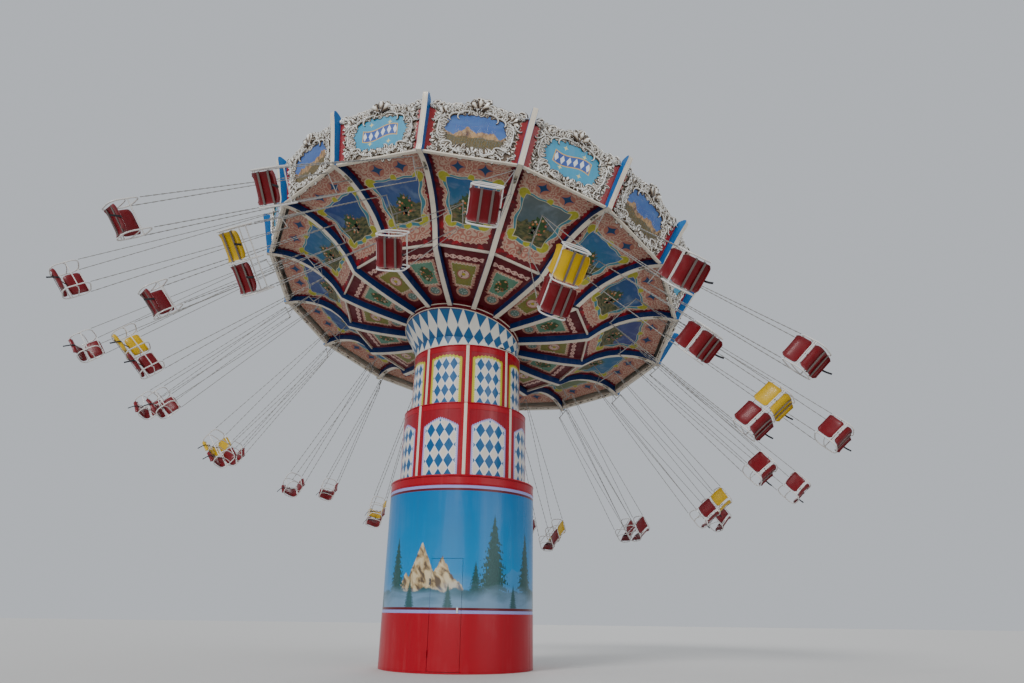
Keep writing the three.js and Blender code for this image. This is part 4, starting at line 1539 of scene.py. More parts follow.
@dataclass
class Collar:
    """Lozenge cone between crown and upper drum: a leaning part and a ring that stands on the drum.

    A bead holds its offset out from the rim, its offset up from the cap and its radius; the
    bearing's knots are radius and height in the crown's frame.
    """

    place: CrownPlace
    cap: float = -0.88
    rim: float = 1.299
    deepest: float = -1.25
    foot: float = 1.2
    widest: float = 1.285
    drum_top: float = 6.3
    clear: float = 0.02
    skin: float = 0.012
    ring: tuple[float, float] = (1.174, 1.186)
    ring_rise: float = 0.215
    ring_least: float = 0.012
    lip: float = 0.05
    overlap: float = 0.25
    rounds: int = 12
    lower_bead: Spot = (0.002, -0.01, 0.009)
    upper_bead: Spot = (-0.004, 0.006, 0.008)
    bearing: Knots = ((0.6403, -0.905), (1.275, -0.905), (1.29, -0.8805), (0.6403, -0.8805))

    def __post_init__(self) -> None:
        """Stations round the collar and the rim's place at each of them."""
        self.angles = np.linspace(0, FULL_TURN, 181)
        rim = self.place.world(polar(self.rim, self.angles[:-1], self.cap))
        self.rim_turn, self.rim_height = np.arctan2(rim[:, 1], rim[:, 0]), rim[:, 2]

    def panel(self, points: Array) -> Array:
        """Turns round the tower and share of the collar's height, for points at rest.

        Args:
            points: World points (n, m, 3), with n running once round.

        Returns:
            Map (n, m, 2).
        """
        angle = np.unwrap(np.arctan2(points[..., 1], points[..., 0]), axis=0)
        top = np.interp(angle, self.rim_turn, self.rim_height, period=FULL_TURN)
        return np.stack([angle / FULL_TURN, (points[..., 2] - self.drum_top) / (top - self.drum_top)], -1)

    def edge(self) -> tuple[Array, Array]:
        """Lower edge of the leaning cone.

        At the height h it meets the circle of 1.2 m round the tower, so its radius r solves
        |r e + h n|**2 = 1.2**2 in the ground plan, with e the radial direction and n the crown's axis.
        The height is the deepest one that clears the drum when the crown is level, or on the low side
        the one that clears it at rest. On the high side the edge runs on by up to a quarter, inside
        the ring on the drum, and between the two sides a lip turns in over the drum's edge.

        Returns:
            Radius and height in the crown's frame at each station.
        """
        matrix = self.place.matrix
        out = np.cos(self.angles)[:, None] * matrix[:, 0] + np.sin(self.angles)[:, None] * matrix[:, 1]
        slope, axis = out[:, 2], self.place.axis
        height = np.full(len(slope), self.deepest)
        for _ in range(self.rounds):
            a = (out[:, :2] ** 2).sum(-1)
            b = 2 * height * (out[:, :2] @ axis[:2])
            c = height ** 2 * (axis[:2] @ axis[:2]) - self.foot ** 2
            radius = np.minimum((-b + np.sqrt(b * b - 4 * a * c)) / (2 * a), self.widest)
            lowest = (self.drum_top + self.clear - self.place.pivot[2] - radius * slope) / axis[2]
            height = np.maximum(self.deepest, lowest)
        slope = slope / np.hypot(*axis[:2])
        further = np.clip(slope * 0.8, 0, self.overlap)
        lip = np.clip(slope / 0.035 + 1, 0, 1) * np.clip(1.1 - slope / 0.2, 0, 1)
        return (radius + (radius - self.rim) * further - self.lip * lip,
                height + (height - self.cap) * further - (self.lip + 0.005) * lip)

    def turned(self, piece: Piece, outline: Array, coat: int) -> None:
        """Adds a closed outline (k, 2) of radius and height, turned round the crown's axis."""
        points = polar(outline[:, 0], self.angles[:-1, None], outline[:, 1])
        piece.grid(self.place.world(points), coat, wrap_u=True, wrap_v=True)

    def build_cone(self) -> None:
        """Leaning cone, rim beads and bearing cap."""
        piece = Piece("collar_skirt", "tilt_head", COLLAR_COAT, CREAM_COAT, DARK_RED_COAT)
        lozenge, cream, crimson = range(3)
        foot, bottom = self.edge()
        t = np.linspace(0, 1, 7)
        radius = self.rim + (foot[:, None] - self.rim) * t
        height = self.cap + (bottom[:, None] - self.cap) * t
        outer = self.place.world(polar(radius, self.angles[:, None], height))
        inner = self.place.world(polar(radius - self.skin, self.angles[:, None], height))
        panel = self.panel(outer)
        shell = np.concatenate([outer, inner[:, ::-1]], 1)
        panel = np.concatenate([panel, panel[:, ::-1], panel[:, :1]], 1)
        piece.grid(shell[:-1], lozenge, panel, wrap_u=True, wrap_v=True)
        for (out, up, size), coat in ((self.lower_bead, cream), (self.upper_bead, crimson)):
            bead = ring_section(size, 6) + [self.rim + out - size * 0.4, self.cap + up]
            self.turned(piece, bead, coat)
        self.turned(piece, np.array(self.bearing), crimson)
        piece.build(["collar"], "lozenge_paint")

    def build_ring(self) -> None:
        """Ring on the drum that carries the pattern on below the cone.

        With c the cosine of the angle from the crown's high side it rises by
        0.215 ((c - 0.2) / 0.8)**1.3, at least 12 mm, which stays under the cone at every tilt.
        """
        piece = Piece("collar_ring", "upper_drum", COLLAR_COAT)
        high_side = np.cos(self.angles - math.atan2(-self.place.axis[1], -self.place.axis[0]))
        rise = self.ring_rise * np.clip((high_side - 0.2) / 0.8, 0, 1) ** 1.3
        top = self.drum_top + np.maximum(rise, self.ring_least)
        low = np.full(len(top), self.drum_top - 0.004)
        inner, outer = self.ring
        rows = [(inner, low), (outer, low), (outer, top), (inner, top)]
        points = np.stack([polar(r, self.angles, z) for r, z in rows], 1)
        panel = self.panel(points)
        piece.grid(points[:-1], 0, np.concatenate([panel, panel[:, :1]], 1), wrap_u=True, wrap_v=True)
        piece.build((), "lozenge_paint")

    def build(self) -> None:
        """Builds both parts."""
        self.build_cone()
        self.build_ring()


@dataclass
class CrownRibs:
    """Sixteen ribs with their posts, the hub ring, the cross bars and the rail.

    The knots are radius and height in the crown's frame; the pocket runs from radius to radius.
    """

    place: CrownPlace
    post_front: Knots = ((4.766, 0.0), (4.8, 0.12), (4.87, 0.27), (4.97, 0.5), (5.09, 0.77), (5.2, 0.98))
    head_front: Knots = ((5.214, 1.03), (5.2, 1.06), (5.165, 1.075))
    post_back: Knots = ((4.655, 0.066), (4.662, 0.064), (4.672, 0.12), (4.73, 0.27), (4.82, 0.5),
                        (4.92, 0.77), (5.0, 0.98))
    head_back: Knots = ((5.02, 1.03), (5.04, 1.05), (5.08, 1.062))
    hub_ring: Knots = ((1.24, -0.87), (1.294, -0.87), (1.3, -0.862), (1.3, -0.7), (1.294, -0.6905),
                       (1.24, -0.6905))
    hub_bead: Knots = ((1.3, -0.8), (1.312, -0.796), (1.312, -0.784), (1.3, -0.78))
    cross_bar: Knots = ((2.81, -0.522), (2.816, -0.528), (2.842, -0.528), (2.848, -0.522),
                        (2.848, -0.478), (2.81, -0.478))
    rail: Knots = ((4.668, 0.03), (4.674, 0.024), (4.724, 0.024), (4.73, 0.03), (4.73, 0.054),
                   (4.724, 0.06), (4.65, 0.06))
    ease: float = 0.004
    cheek: float = 0.025
    pocket: tuple[float, float] = (4.215, 4.425)
    pocket_roof: float = 0.1233

    def outline(self, recessed: bool) -> tuple[Array, Array]:
        """Front and back edge of a rib from hub to post head, as matched points.

        Args:
            recessed: The underside steps up at the gondola's pocket.

        Returns:
            Two arrays (n, 2) of radius and height.
        """
        near, far = self.pocket
        radius = np.concatenate([
            np.linspace(1.295, KINK, 10), np.linspace(KINK + 0.03, near, 22), [near + 1e-4],
            np.linspace(4.25, 4.39, 3), [far - 1e-4], np.linspace(far, 4.6, 5)])
        under = height_on(UNDERSIDE, radius)
        hole = (radius > near) & (radius < far)
        if recessed:
            under = np.where(hole, self.pocket_roof, under)
        top = height_on(RIB_TOP, np.minimum(radius, 4.59)) - 0.002
        rim_radius = np.linspace(4.64, 4.766, 3)
        rim = np.stack([rim_radius, height_on(UNDERSIDE, rim_radius)], -1)
        steps = np.linspace(0, 1, 16)[1:]
        front = np.concatenate([np.stack([radius, under], -1), rim,
                                smooth_curve(np.array(self.post_front), steps), self.head_front])
        back = np.concatenate([np.stack([radius, top], -1), [[4.6, 0.07]],
                               smooth_curve(np.array(self.post_back), np.linspace(0, 1, 17)), self.head_back])
        return front, back

    def band(self, piece: Piece, low: float, high: float, recessed: bool, coats: Array) -> None:
        """Adds one strip of all ribs between two offsets from the rib's middle plane.

        Args:
            piece: Receives the strip.
            low: Offset of its left side.
            high: Offset of its right side.
            recessed: The strip has the pockets of the gondolas.
            coats: Finish of each side, ribs in the first row and posts in the second.
        """
        front, back = self.outline(recessed)
        ease = self.ease
        side = np.array([low + ease, high - ease, high, high, low, low])
        n = len(front)
        inward = unit(back - front) * ease
        rows = np.stack([front, front, front + inward, back, back, front + inward], 1)
        angles = self.place.rib_angle(np.arange(BAYS))[:, None, None]
        radius, height = rows[None, ..., 0], rows[None, ..., 1]
        across = np.broadcast_to(side, (BAYS, n, 6))
        local = np.stack([radius * np.cos(angles) - across * np.sin(angles),
                          radius * np.sin(angles) + across * np.cos(angles),
                          np.broadcast_to(height, (BAYS, n, 6))], -1)
        on_post = (front[:-1, 0] > 4.7).astype(int)
        piece.loft(self.place.world(local), coats[on_post])

    def ring(self, piece: Piece, outline: Knots, sides: int, coat: int) -> None:
        """Turns a small outline round the crown's axis with its corners at the ribs.

        Args:
            piece: Receives the ring.
            outline: Radius and height of its corners.
            sides: Number of its sides.
            coat: Number of its finish.
        """
        corners = np.array(outline)
        angles = self.place.rib_angle(np.arange(sides) * BAYS / sides)
        points = polar(corners[:, 0], angles[:, None], corners[:, 1])
        piece.grid(self.place.world(points), coat, wrap_u=True, wrap_v=True)

    def build(self) -> None:
        """Builds the whole cage as one piece."""
        piece = Piece("crown_ribs", "crown", WHITE_COAT, NAVY_COAT, DARK_RED_COAT, BLUE_COAT)
        white, navy, crimson, blue = range(4)
        left = np.array([[white] * 4 + [side] * 2 for side in (navy, blue)])
        right = np.array([[white, side, side, white, white, white] for side in (navy, blue)])
        self.band(piece, -RIB_HALF, -RIB_HALF + self.cheek, False, left)
        self.band(piece, RIB_HALF - self.cheek, RIB_HALF, False, right)
        self.band(piece, -RIB_HALF + self.cheek, RIB_HALF - self.cheek, True, np.zeros((2, 6), int))
        for outline, sides, coat in ((self.hub_ring, 96, crimson), (self.hub_bead, 96, white),
                                     (self.cross_bar, BAYS, white), (self.rail, BAYS, white)):
            self.ring(piece, outline, sides, coat)
        piece.build([f"cage_sector_{n}" for n in range(1, 9)], "white_paint")


@dataclass
class Ceilings:
    """The painted ceiling in two courses, with slots for the inner gondolas."""

    place: CrownPlace
    reach: tuple[float, float] = (1.292, 4.585)
    seam: float = 0.0002
    lift: float = 0.0008
    thick: float = 0.01
    slot: tuple[float, float] = (3.255, 3.465)
    slot_half: float = 0.03

    def course(self, piece: Piece, radii: Array, slotted: bool) -> None:
        """Adds one course as sixteen flat bays.

        Each bay is a grid over s, straight from rib to rib, and over the radius, with the height of
        the ribs' tops; its upper face lies a sheet's thickness above. Cells of the slot are left out.

        Args:
            piece: Receives the sheets.
            radii: Corner radii of the stations.
            slotted: Leaves a slot open in the middle of each bay.
        """
        height = height_on(RIB_TOP, radii) + self.lift
        run = np.r_[0, np.cumsum(np.hypot(np.diff(radii), np.diff(height)))]
        if not slotted:
            self.slab(piece, radii, height, run, np.broadcast_to(np.linspace(-1, 1, 9), (len(radii), 9)))
            return
        edge = self.slot_half / (radii * SIN_BAY)
        inside = (radii > self.slot[0] * 1.0001 / COS_BAY) & (radii < self.slot[1] / COS_BAY)
        first, last = np.flatnonzero(inside)[[0, -1]]
        left = np.linspace(0, 1, 5)[None] * (1 - edge)[:, None] - 1
        self.slab(piece, radii, height, run, left)
        self.slab(piece, radii, height, run, -left[:, ::-1])
        middle = np.stack([-edge, edge], 1)
        for cut in (slice(0, first + 1), slice(last, len(radii))):
            self.slab(piece, radii[cut], height[cut], run[cut], middle[cut])

    def slab(self, piece: Piece, radii: Array, height: Array, run: Array, s: Array) -> None:
        """Adds a closed sheet over s (m, n) for every bay, painted below.

        Args:
            piece: Receives the sheet.
            radii: Corner radii (m,).
            height: Heights (m,).
            run: Length along the slope (m,).
            s: Place between the ribs, from -1 to 1.
        """
        bays = np.arange(BAYS)[:, None, None]
        lower = self.place.bay_point(bays, s, radii[:, None], height[:, None])
        upper = self.place.bay_point(bays, s, radii[:, None], height[:, None] + self.thick)
        across = s * radii[:, None] * SIN_BAY
        panel = np.stack([across, np.broadcast_to(run[:, None], s.shape)], -1)
        margin = (1 - np.abs(s)) * radii[:, None] * SIN_BAY - RIB_HALF
        span = np.stack(np.broadcast_arrays(margin, bays), -1)
        piece.grid(lower, 0, np.broadcast_to(panel, (BAYS, *panel.shape)), span)
        piece.grid(upper, 1)
        piece.grid(np.stack([border(lower), border(upper)], 1), 1, wrap_v=True)

    def housings(self) -> None:
        """Dark boxes above the slots, in which the inner gondolas' eyes turn; the inner box's near black is
        painted shade in the slot.
        """
        piece = Piece("slot_boxes", "crown", SLOT_SHADE_COAT, STEEL_COAT)
        near, far = (value / COS_BAY for value in self.slot)
        k = np.arange(BAYS)[:, None]
        # An inner and an outer box: how much it is grown, its roof's height and its finish.
        for grow, roof, coat in ((0.0, 0.029, 0), (0.012, 0.07, 1)):
            radius = np.array([near - grow, near - grow, far + grow, far + grow])
            wide = (self.slot_half + grow) / (radius * SIN_BAY)
            s = np.array([-1, 1, 1, -1]) * wide
            foot = height_on(RIB_TOP, radius) + (0.002 if coat == 0 else self.thick)
            walls = np.stack([self.place.bay_point(k, s, radius, foot),
                              self.place.bay_point(k, s, radius, np.full(4, roof))], 1)
            piece.grid(walls, coat, wrap_v=True)
            piece.cap(walls[:, 1], coat)
        piece.build((), "structure_steel")

    def build(self) -> None:
        """Builds both courses; the outer one stands for the middle and the outer ceiling."""
        inner = Piece("ceiling_cartouches", "crown", CARTOUCHE_COAT, STEEL_COAT)
        self.course(inner, np.linspace(self.reach[0], KINK - self.seam, 14), False)
        inner.build(["ceiling_inner"], "ceiling_green")
        outer = Piece("ceiling_scenes", "crown", SCENE_COAT, STEEL_COAT)
        stations = np.linspace(KINK + self.seam, self.reach[1], 26)
        self.course(outer, np.unique(np.r_[stations, np.array(self.slot) / COS_BAY]), True)
        outer.build(["ceiling_middle", "ceiling_outer"], "ceiling_pink")
        self.housings()


@dataclass
class Fascia:
    """Leaning boards between the posts, with carved relief round painted windows.

    Foot and head are radius and height in the crown's frame. The crest gives the upper edge's height
    over the share of the half width.
    """

    place: CrownPlace
    foot: tuple[float, float] = (4.656, 0.0603)
    head: tuple[float, float] = (5.075, 1.13)
    thick: float = 0.028
    crest: Knots = ((0, 1.12), (0.1, 1.09), (0.2, 1.0), (0.4, 0.97), (0.6, 0.93), (0.8, 0.93), (0.93, 0.95),
                    (1.0, 0.9))
    side_gap: float = 0.0005
    batten_half: float = 0.03
    batten_depth: tuple[float, float] = (-0.0275, -0.06)
    middle: float = 0.55
    window_half: tuple[float, float] = (0.54, 0.31)
    oblong: float = 3.4
    frame_leaves: int = 52
    crest_leaves: int = 30
    spots: int = 900
    kept_spots: int = 200
    spot_leaves: int = 70
    seed: int = 11

    def __post_init__(self) -> None:
        """Works out the board's lean and length in its own plane."""
        self.slope = (self.head[0] - self.foot[0]) / (self.head[1] - self.foot[1]) * COS_BAY
        self.lean = math.atan(self.slope)
        self.rng = np.random.default_rng(self.seed)

    def point(self, bay: Array, x: Array, y: Array, out: Array) -> Array:
        """A point of the board: x across, y up along its slope, out from its face, in metres.

        Args:
            bay: Number of the bay.
            x: Metres across.
            y: Metres up.
            out: Metres out from the board's face.

        Returns:
            World points.
        """
        distance = self.foot[0] * COS_BAY + y * math.sin(self.lean) + out * math.cos(self.lean)
        height = self.foot[1] + y * math.cos(self.lean) - out * math.sin(self.lean)
        angle = self.place.rib_angle(np.asarray(bay) + 0.5)
        distance, height, x, angle = np.broadcast_arrays(distance, height, x, angle)
        return self.place.world(np.stack([distance * np.cos(angle) - x * np.sin(angle),
                                          distance * np.sin(angle) + x * np.cos(angle), height], -1))

    def half_width(self, y: Any) -> Any:
        """Half the board's width at y."""
        return (self.foot[0] + y * math.sin(self.lean) / COS_BAY) * SIN_BAY

    def top(self, s: Array) -> Array:
        """Height of the board's upper edge along its slope, over s from -1 to 1."""
        knots = np.array(self.crest)
        return (np.interp(np.abs(s), knots[:, 0], knots[:, 1]) - self.foot[1]) / math.cos(self.lean)

    def build_boards(self) -> None:
        """Sixteen boards with their shaped upper edge.

        The grid runs over s across and t up, with y = t top(s) and x = s half_width(y).
        """
        piece = Piece("fascia_boards", "crown", FASCIA_COAT, WHITE_COAT)
        s = np.linspace(-1, 1, 41)
        t = np.linspace(0, 1, 4)[:, None]
        y = t * self.top(s)
        x = s * (self.half_width(y) - self.side_gap)
        bays = np.arange(BAYS)[:, None, None]
        face = self.point(bays, x, y, np.zeros_like(y))
        rear = self.point(bays, x, y, np.full_like(y, -self.thick))
        panel = np.broadcast_to(np.stack([x, y], -1), (BAYS, *x.shape, 2))
        margin = self.half_width(y) - np.abs(x) - RIB_HALF
        span = np.stack(np.broadcast_arrays(margin, bays), -1)
        piece.grid(face, 0, panel, span)
        piece.grid(rear, 1)
        piece.grid(np.stack([border(face), border(rear)], 1), 1, wrap_v=True)
        self.battens(piece)
        piece.build(["fascia_ring"], "relief_cream")

    def battens(self, piece: Piece) -> None:
        """Three upright battens on the back of each board.

        Args:
            piece: Receives the surface.
        """
        x = np.array([-0.45, 0.0, 0.45])[None, :, None, None]
        y = np.array([0.42, 0.84])[None, None, :, None]
        bay = np.arange(BAYS)[:, None, None, None]
        side = np.array([-1, 1, 1, -1]) * self.batten_half
        depth = np.repeat(self.batten_depth, 2)
        piece.loft(self.point(bay, x + side, y + 0 * side, depth + 0 * y), 1)

    def scroll(self, start: Array, heading: Array, length: Array, bend: Array, curl: Array,
               steps: int) -> Array:
        """Paths of C-scrolls in the board's plane.

        The curvature is bend + curl u**4, with u from 0 to 1 along the scroll, so it winds up at its
        end; the path is the running sum of the unit headings.

        Args:
            start: First points (c, 2).
            heading: First directions in radians (c,).
            length: Lengths (c,).
            bend: Steady curvature (c,).
            curl: Extra curvature at the end (c,).
            steps: Points on each path.

        Returns:
            Paths (c, steps, 2).
        """
        u = np.linspace(0, 1, steps)
        step = length[..., None] / (steps - 1)
        curvature = bend[..., None] + curl[..., None] * u ** 4
        angle = heading[..., None] + np.cumsum(curvature * step, -1)
        stride = np.stack([np.cos(angle), np.sin(angle)], -1) * step[..., None]
        path = np.cumsum(stride, -2)
        return start[..., None, :] + path - path[..., :1, :]

    def lay(self, piece: Piece, bays: Array, path: Array, offset: Array, high: Array, mark: Array) -> None:
        """Lays closed bodies along plane paths: a shaped upper side over a flat underside.

        Args:
            piece: Receives the relief.
            bays: Bay numbers (b,).
            path: Plane points (c, k, 2), laid on every bay.
            offset: Distance of the section's points from the path (c, k, 5).
            high: Their height over the board (c, k, 5).
            mark: Their tone (k, 5), painted shade where low and painted highlight where high.
        """
        tangent = unit(np.gradient(path, axis=-2))
        normal = np.stack([-tangent[..., 1], tangent[..., 0]], -1)
        flat = path[..., None, :] + normal[..., None, :] * offset[..., None]
        bay = bays[:, None, None, None]
        upper = self.point(bay, flat[..., 0], flat[..., 1], high)
        under = self.point(bay, flat[..., 0], flat[..., 1], np.full(flat.shape[:-1], -0.004))
        ring = np.concatenate([upper, under[..., [4, 0], :]], -2)
        tone = np.concatenate([mark, np.full((path.shape[-2], 2), BACK_TONE)], -1)
        piece.grid(ring, 0, wrap_v=True, mark=tone)
        piece.cap(ring[..., 0, :, :])
        piece.cap(ring[..., -1, :, :])

    def ridge(self, piece: Piece, bays: Array, path: Array, width: Array, rise: Array) -> None:
        """Lays half-round ridges along plane paths.

        Along the path the width swells as sin(pi u)**0.6 over a small floor, so each ridge tapers to
        both ends; across it the section is a low arch.

        Args:
            piece: Receives the relief.
            bays: Bay numbers (b,).
            path: Plane points (c, k, 2).
            width: Half width (c,).
            rise: Height (c,).
        """
        k = path.shape[-2]
        swell = 0.25 + 0.75 * np.sin(np.pi * np.linspace(0, 1, k)) ** 0.6
        lift = np.array([-0.15, 0.75, 1.0, 0.75, -0.15])
        offset = width[:, None, None] * swell[:, None] * np.array([-1.0, -0.6, 0.0, 0.6, 1.0])
        high = rise[:, None, None] * swell[:, None] * lift
        # The Mark paints highlight along the ridge's crest and shade along its feet.
        mark = np.broadcast_to(np.clip(lift, 0, 1) ** 2 * 0.85, (k, 5)) + 0.1
        self.lay(piece, bays, path, offset, high, mark)

    def leaf(self, piece: Piece, bays: Array, foot: Array, heading: Array, size: Array, bend: Array) -> None:
        """Lays lobed leaves.

        A leaf's spine is an arc; its half width is 0.3 size sin(pi u)**0.7 with lobes
        0.75 + 0.4 |sin(3.5 pi u)|, and its surface rises as (1 - v**2) with a groove down the spine.

        Args:
            piece: Receives the relief.
            bays: Bay numbers (b,).
            foot: Plane points where the leaves start (c, 2).
            heading: Their directions in radians (c,).
            size: Their lengths (c,).
            bend: Curvature of their spines (c,).
        """
        u = np.linspace(0, 1, 9)
        spine = self.scroll(foot, heading, size, bend, bend * 3, 9)
        lobes = 0.75 + 0.4 * np.abs(np.sin(3.5 * np.pi * u))
        half = 0.3 * np.sin(np.pi * np.clip(u, 0.03, 0.985)) ** 0.7 * lobes
        v = np.linspace(-1, 1, 5)
        body = (1 - v ** 2) * 0.2 - 0.08 * np.exp(-(v / 0.25) ** 2) + 0.01
        high = size[:, None, None] * body * (0.5 + 0.8 * u[:, None]) - 0.003
        # The Mark paints shade down the groove and along the edges and highlight on the two swells, lighter
        # towards the tip.
        mark = np.array([0.35, 1.0, 0.2, 1.0, 0.35]) * (0.55 + 0.45 * u[:, None])
        self.lay(piece, bays, spine, size[:, None, None] * half[:, None] * v, high, mark)

    def shell(self, piece: Piece, bays: Array, centre: tuple[float, float], radius: float,
              turn: float) -> None:
        """Lays a fluted shell.

        Over a fan of angles a and shares r of the radius its height is
        0.16 + 0.24 |cos(4.2 a)| r - 0.1 (r - 0.6)**2 times the radius, and the flutes reach up to 12 %
        further, which scallops the rim.

        Args:
            piece: Receives the relief.
            bays: Bay numbers (b,).
            centre: Plane point of its hinge.
            radius: Length of its flutes.
            turn: Direction of its middle flute from straight up.
        """
        a = np.linspace(-1.35, 1.35, 23)
        r = np.linspace(0.12, 1, 6)[:, None]
        flute = np.abs(np.cos(a * 4.2))
        reach = radius * r * (1 + 0.12 * flute * r)
        x = centre[0] + reach * np.sin(a + turn)
        y = centre[1] + reach * np.cos(a + turn)
        high = radius * (0.16 + 0.24 * flute * r - 0.1 * (r - 0.6) ** 2)
        bay = bays[:, None, None]
        upper = self.point(bay, x, y, high)
        under = self.point(bay, x, y, np.full_like(high, -0.005))
        # The Mark paints highlight on the flutes' crests and shade between them, shade round the rim and a
        # middle tone on the back.
        piece.grid(upper, 0, mark=0.15 + 0.85 * flute * r)
        piece.grid(under, 0, mark=BACK_TONE)
        piece.grid(np.stack([border(upper), border(under)], 1), 0, wrap_v=True, mark=0.2)

    def window(self, t: Array) -> Array:
        """Outline of the picture window at turns t: a rounded oblong with shallow waves.

        Args:
            t: Turns round the window.

        Returns:
            Plane points (n, 2).
        """
        angle = FULL_TURN * t
        c, s = np.cos(angle), np.sin(angle)
        power = (np.abs(c) ** self.oblong + np.abs(s) ** self.oblong) ** (-1 / self.oblong)
        wave = 1 + 0.045 * np.cos(8 * angle)
        wide, tall = self.window_half
        return np.stack([wide * power * c * wave, self.middle + tall * power * s * wave], -1)

    def build_relief(self, name: str, bays: Array) -> None:
        """Carves the ornament of some bays: scrolls, a crest, shells and foliage round the window.

        Args:
            name: The piece's name.
            bays: Numbers of the bays that it covers.
        """
        piece = Piece(name, "crown", RELIEF_COAT)
        self.big_scrolls(piece, bays)
        self.foliage(piece, bays)
        self.crown_leaves(piece, bays)
        shells = (((0.0, 0.09), 0.12, 0.0), ((0.0, 0.94), 0.21, 0.0), ((0.6, 0.8), 0.14, 0.9),
                  ((-0.6, 0.8), 0.14, -0.9), ((0.66, 0.3), 0.1, 2.2), ((-0.66, 0.3), 0.1, -2.2))
        for centre, radius, turn in shells:
            self.shell(piece, bays, centre, radius, turn)
        piece.build((), "relief_cream", crease=50)

    def big_scrolls(self, piece: Piece, bays: Array) -> None:
        """C-scrolls that lead the eye round the window, mirrored left and right.

        Args:
            piece: Receives the surface.
            bays: Numbers of the bays.
        """
        table = np.array([
            # foot x, foot y, heading, length, bend, curl, half width, rise
            [0.08, 0.93, 0.1, 0.42, -1.5, -22.0, 0.026, 0.055],
            [0.06, 0.98, 1.2, 0.3, -6.5, -26.0, 0.024, 0.055],
            [0.3, 0.86, 0.25, 0.34, -3.2, -24.0, 0.026, 0.055],
            [0.66, 0.84, -1.3, 0.3, 1.5, 30.0, 0.022, 0.05],
            [0.69, 0.6, -1.45, 0.34, -1.0, -26.0, 0.024, 0.05],
            [0.69, 0.5, 1.5, 0.3, 0.5, 28.0, 0.022, 0.05],
            [0.67, 0.2, 2.6, 0.36, 0.9, 26.0, 0.024, 0.05],
            [0.12, 0.1, -0.1, 0.4, 1.4, 22.0, 0.024, 0.05],
            [0.4, 0.17, -0.3, 0.3, -2.6, -28.0, 0.02, 0.045],
        ])
        for mirror in (1.0, -1.0):
            foot = table[:, :2] * [mirror, 1]
            heading = table[:, 2] if mirror > 0 else np.pi - table[:, 2]
            path = self.scroll(foot, heading, table[:, 3], table[:, 4] * mirror, table[:, 5] * mirror, 16)
            self.ridge(piece, bays, path, table[:, 6], table[:, 7])

    def crown_leaves(self, piece: Piece, bays: Array) -> None:
        """Leaves along the upper edge that stand up past it and break its outline.

        Args:
            piece: Receives the surface.
            bays: Numbers of the bays.
        """
        count = self.crest_leaves
        s = np.linspace(-0.86, 0.86, count)
        y = self.top(s) - 0.06
        foot = np.stack([s * (self.half_width(y) - 0.04), y], -1)
        turn = np.where(np.arange(count) % 2 == 0, 1.0, -1.0)
        heading = np.pi / 2 - s * 0.5 + 0.75 * turn + 0.3 * (self.rng.random(count) - 0.5)
        size = 0.17 + 0.08 * self.rng.random(count) + 0.04 * np.abs(s) ** 4
        self.leaf(piece, bays, foot, heading, size, -9.0 * turn)
        length = 0.2 + 0.06 * self.rng.random(count)
        path = self.scroll(foot, heading - 0.9 * turn, length, 6.0 * turn, 34.0 * turn, 9)
        self.ridge(piece, bays, path, np.full(count, 0.016), np.full(count, 0.045))

    def foliage(self, piece: Piece, bays: Array) -> None:
        """Leaves all round the window's frame, and small leaves and curls over the rest of the band.

        The scattered feet are random points outside the window's oblong, inside the board and clear
        of the red strips.

        Args:
            piece: Receives the surface.
            bays: Numbers of the bays.
        """
        count = self.frame_leaves
        t = (np.arange(count) + 0.5) / count
        foot = self.window(t)
        away = foot - [0, self.middle]
        turn = np.where(np.arange(count) % 2 == 0, 1.0, -1.0)
        heading = np.arctan2(away[:, 1] * 1.5, away[:, 0]) + 0.75 * turn
        self.leaf(piece, bays, foot, heading, 0.14 + 0.045 * self.rng.random(count), -7.0 * turn)
        spot = self.rng.random((self.spots, 2)) * [1.66, 1.06] + [-0.83, 0.03]
        reach = np.hypot(np.abs(spot[:, 0] / 0.61) ** 2, np.abs((spot[:, 1] - self.middle) / 0.37) ** 2)
        limit = self.top(spot[:, 0] / 0.9) - 0.02
        edge = self.half_width(spot[:, 1]) - 0.2
        free = (reach > 1.0) & (spot[:, 1] < limit) & (np.abs(spot[:, 0]) < edge)
        spot = spot[free][:self.kept_spots]
        turns = self.rng.random(len(spot)) * FULL_TURN
        hand = np.where(self.rng.random(len(spot)) > 0.5, 1.0, -1.0)
        grow = self.rng.random(len(spot))
        leaves = slice(0, self.spot_leaves)
        self.leaf(piece, bays, spot[leaves], turns[leaves], 0.11 + 0.05 * grow[leaves], 9.0 * hand[leaves])
        curled = slice(self.spot_leaves, None)
        bend = hand[curled] * (14 + 12 * grow[curled])
        path = self.scroll(spot[curled], turns[curled], 0.085 + 0.06 * grow[curled], bend, bend * 1.4, 6)
        size = np.full(len(path), 0.019)
        self.ridge(piece, bays, path, size, size * 2.8)

    def build(self) -> None:
        """Builds boards and relief; every fourth bay shares a piece."""
        self.build_boards()
        for start, word in enumerate(("one", "two", "three", "four")):
            self.build_relief(f"fascia_relief_{word}", np.arange(start, BAYS, 4))


# Numbers of a gondola's finishes, in the order in which its piece takes them.
FRAME, CHAIN, RED_SEAT, YELLOW_SEAT, BELT, BAND = range(6)


@dataclass(frozen=True)
class Hanging:
    """Lengths of a ring's gondolas: from the eye to the seat, and down to the spreader bar."""

    length: float
    rod: float


class Ring(Enum):
    """The crown's two rings of gondolas."""

    OUTER = Hanging(4.471, 0.48)
    INNER = Hanging(4.403, 0.52)


@dataclass(frozen=True)
class Bench:
    """Half widths of frame, spreader bar and shell, and each seat's place and finish."""

    half: float
    bar: float
    width: float
    seats: tuple[tuple[float, int], ...]


class Seating(Enum):
    """The two kinds of gondola."""

    SINGLE = Bench(0.235, 0.21, 0.2, ((0.0, RED_SEAT),))
    DOUBLE = Bench(0.48, 0.38, 0.205, ((-0.238, RED_SEAT), (0.238, YELLOW_SEAT)))


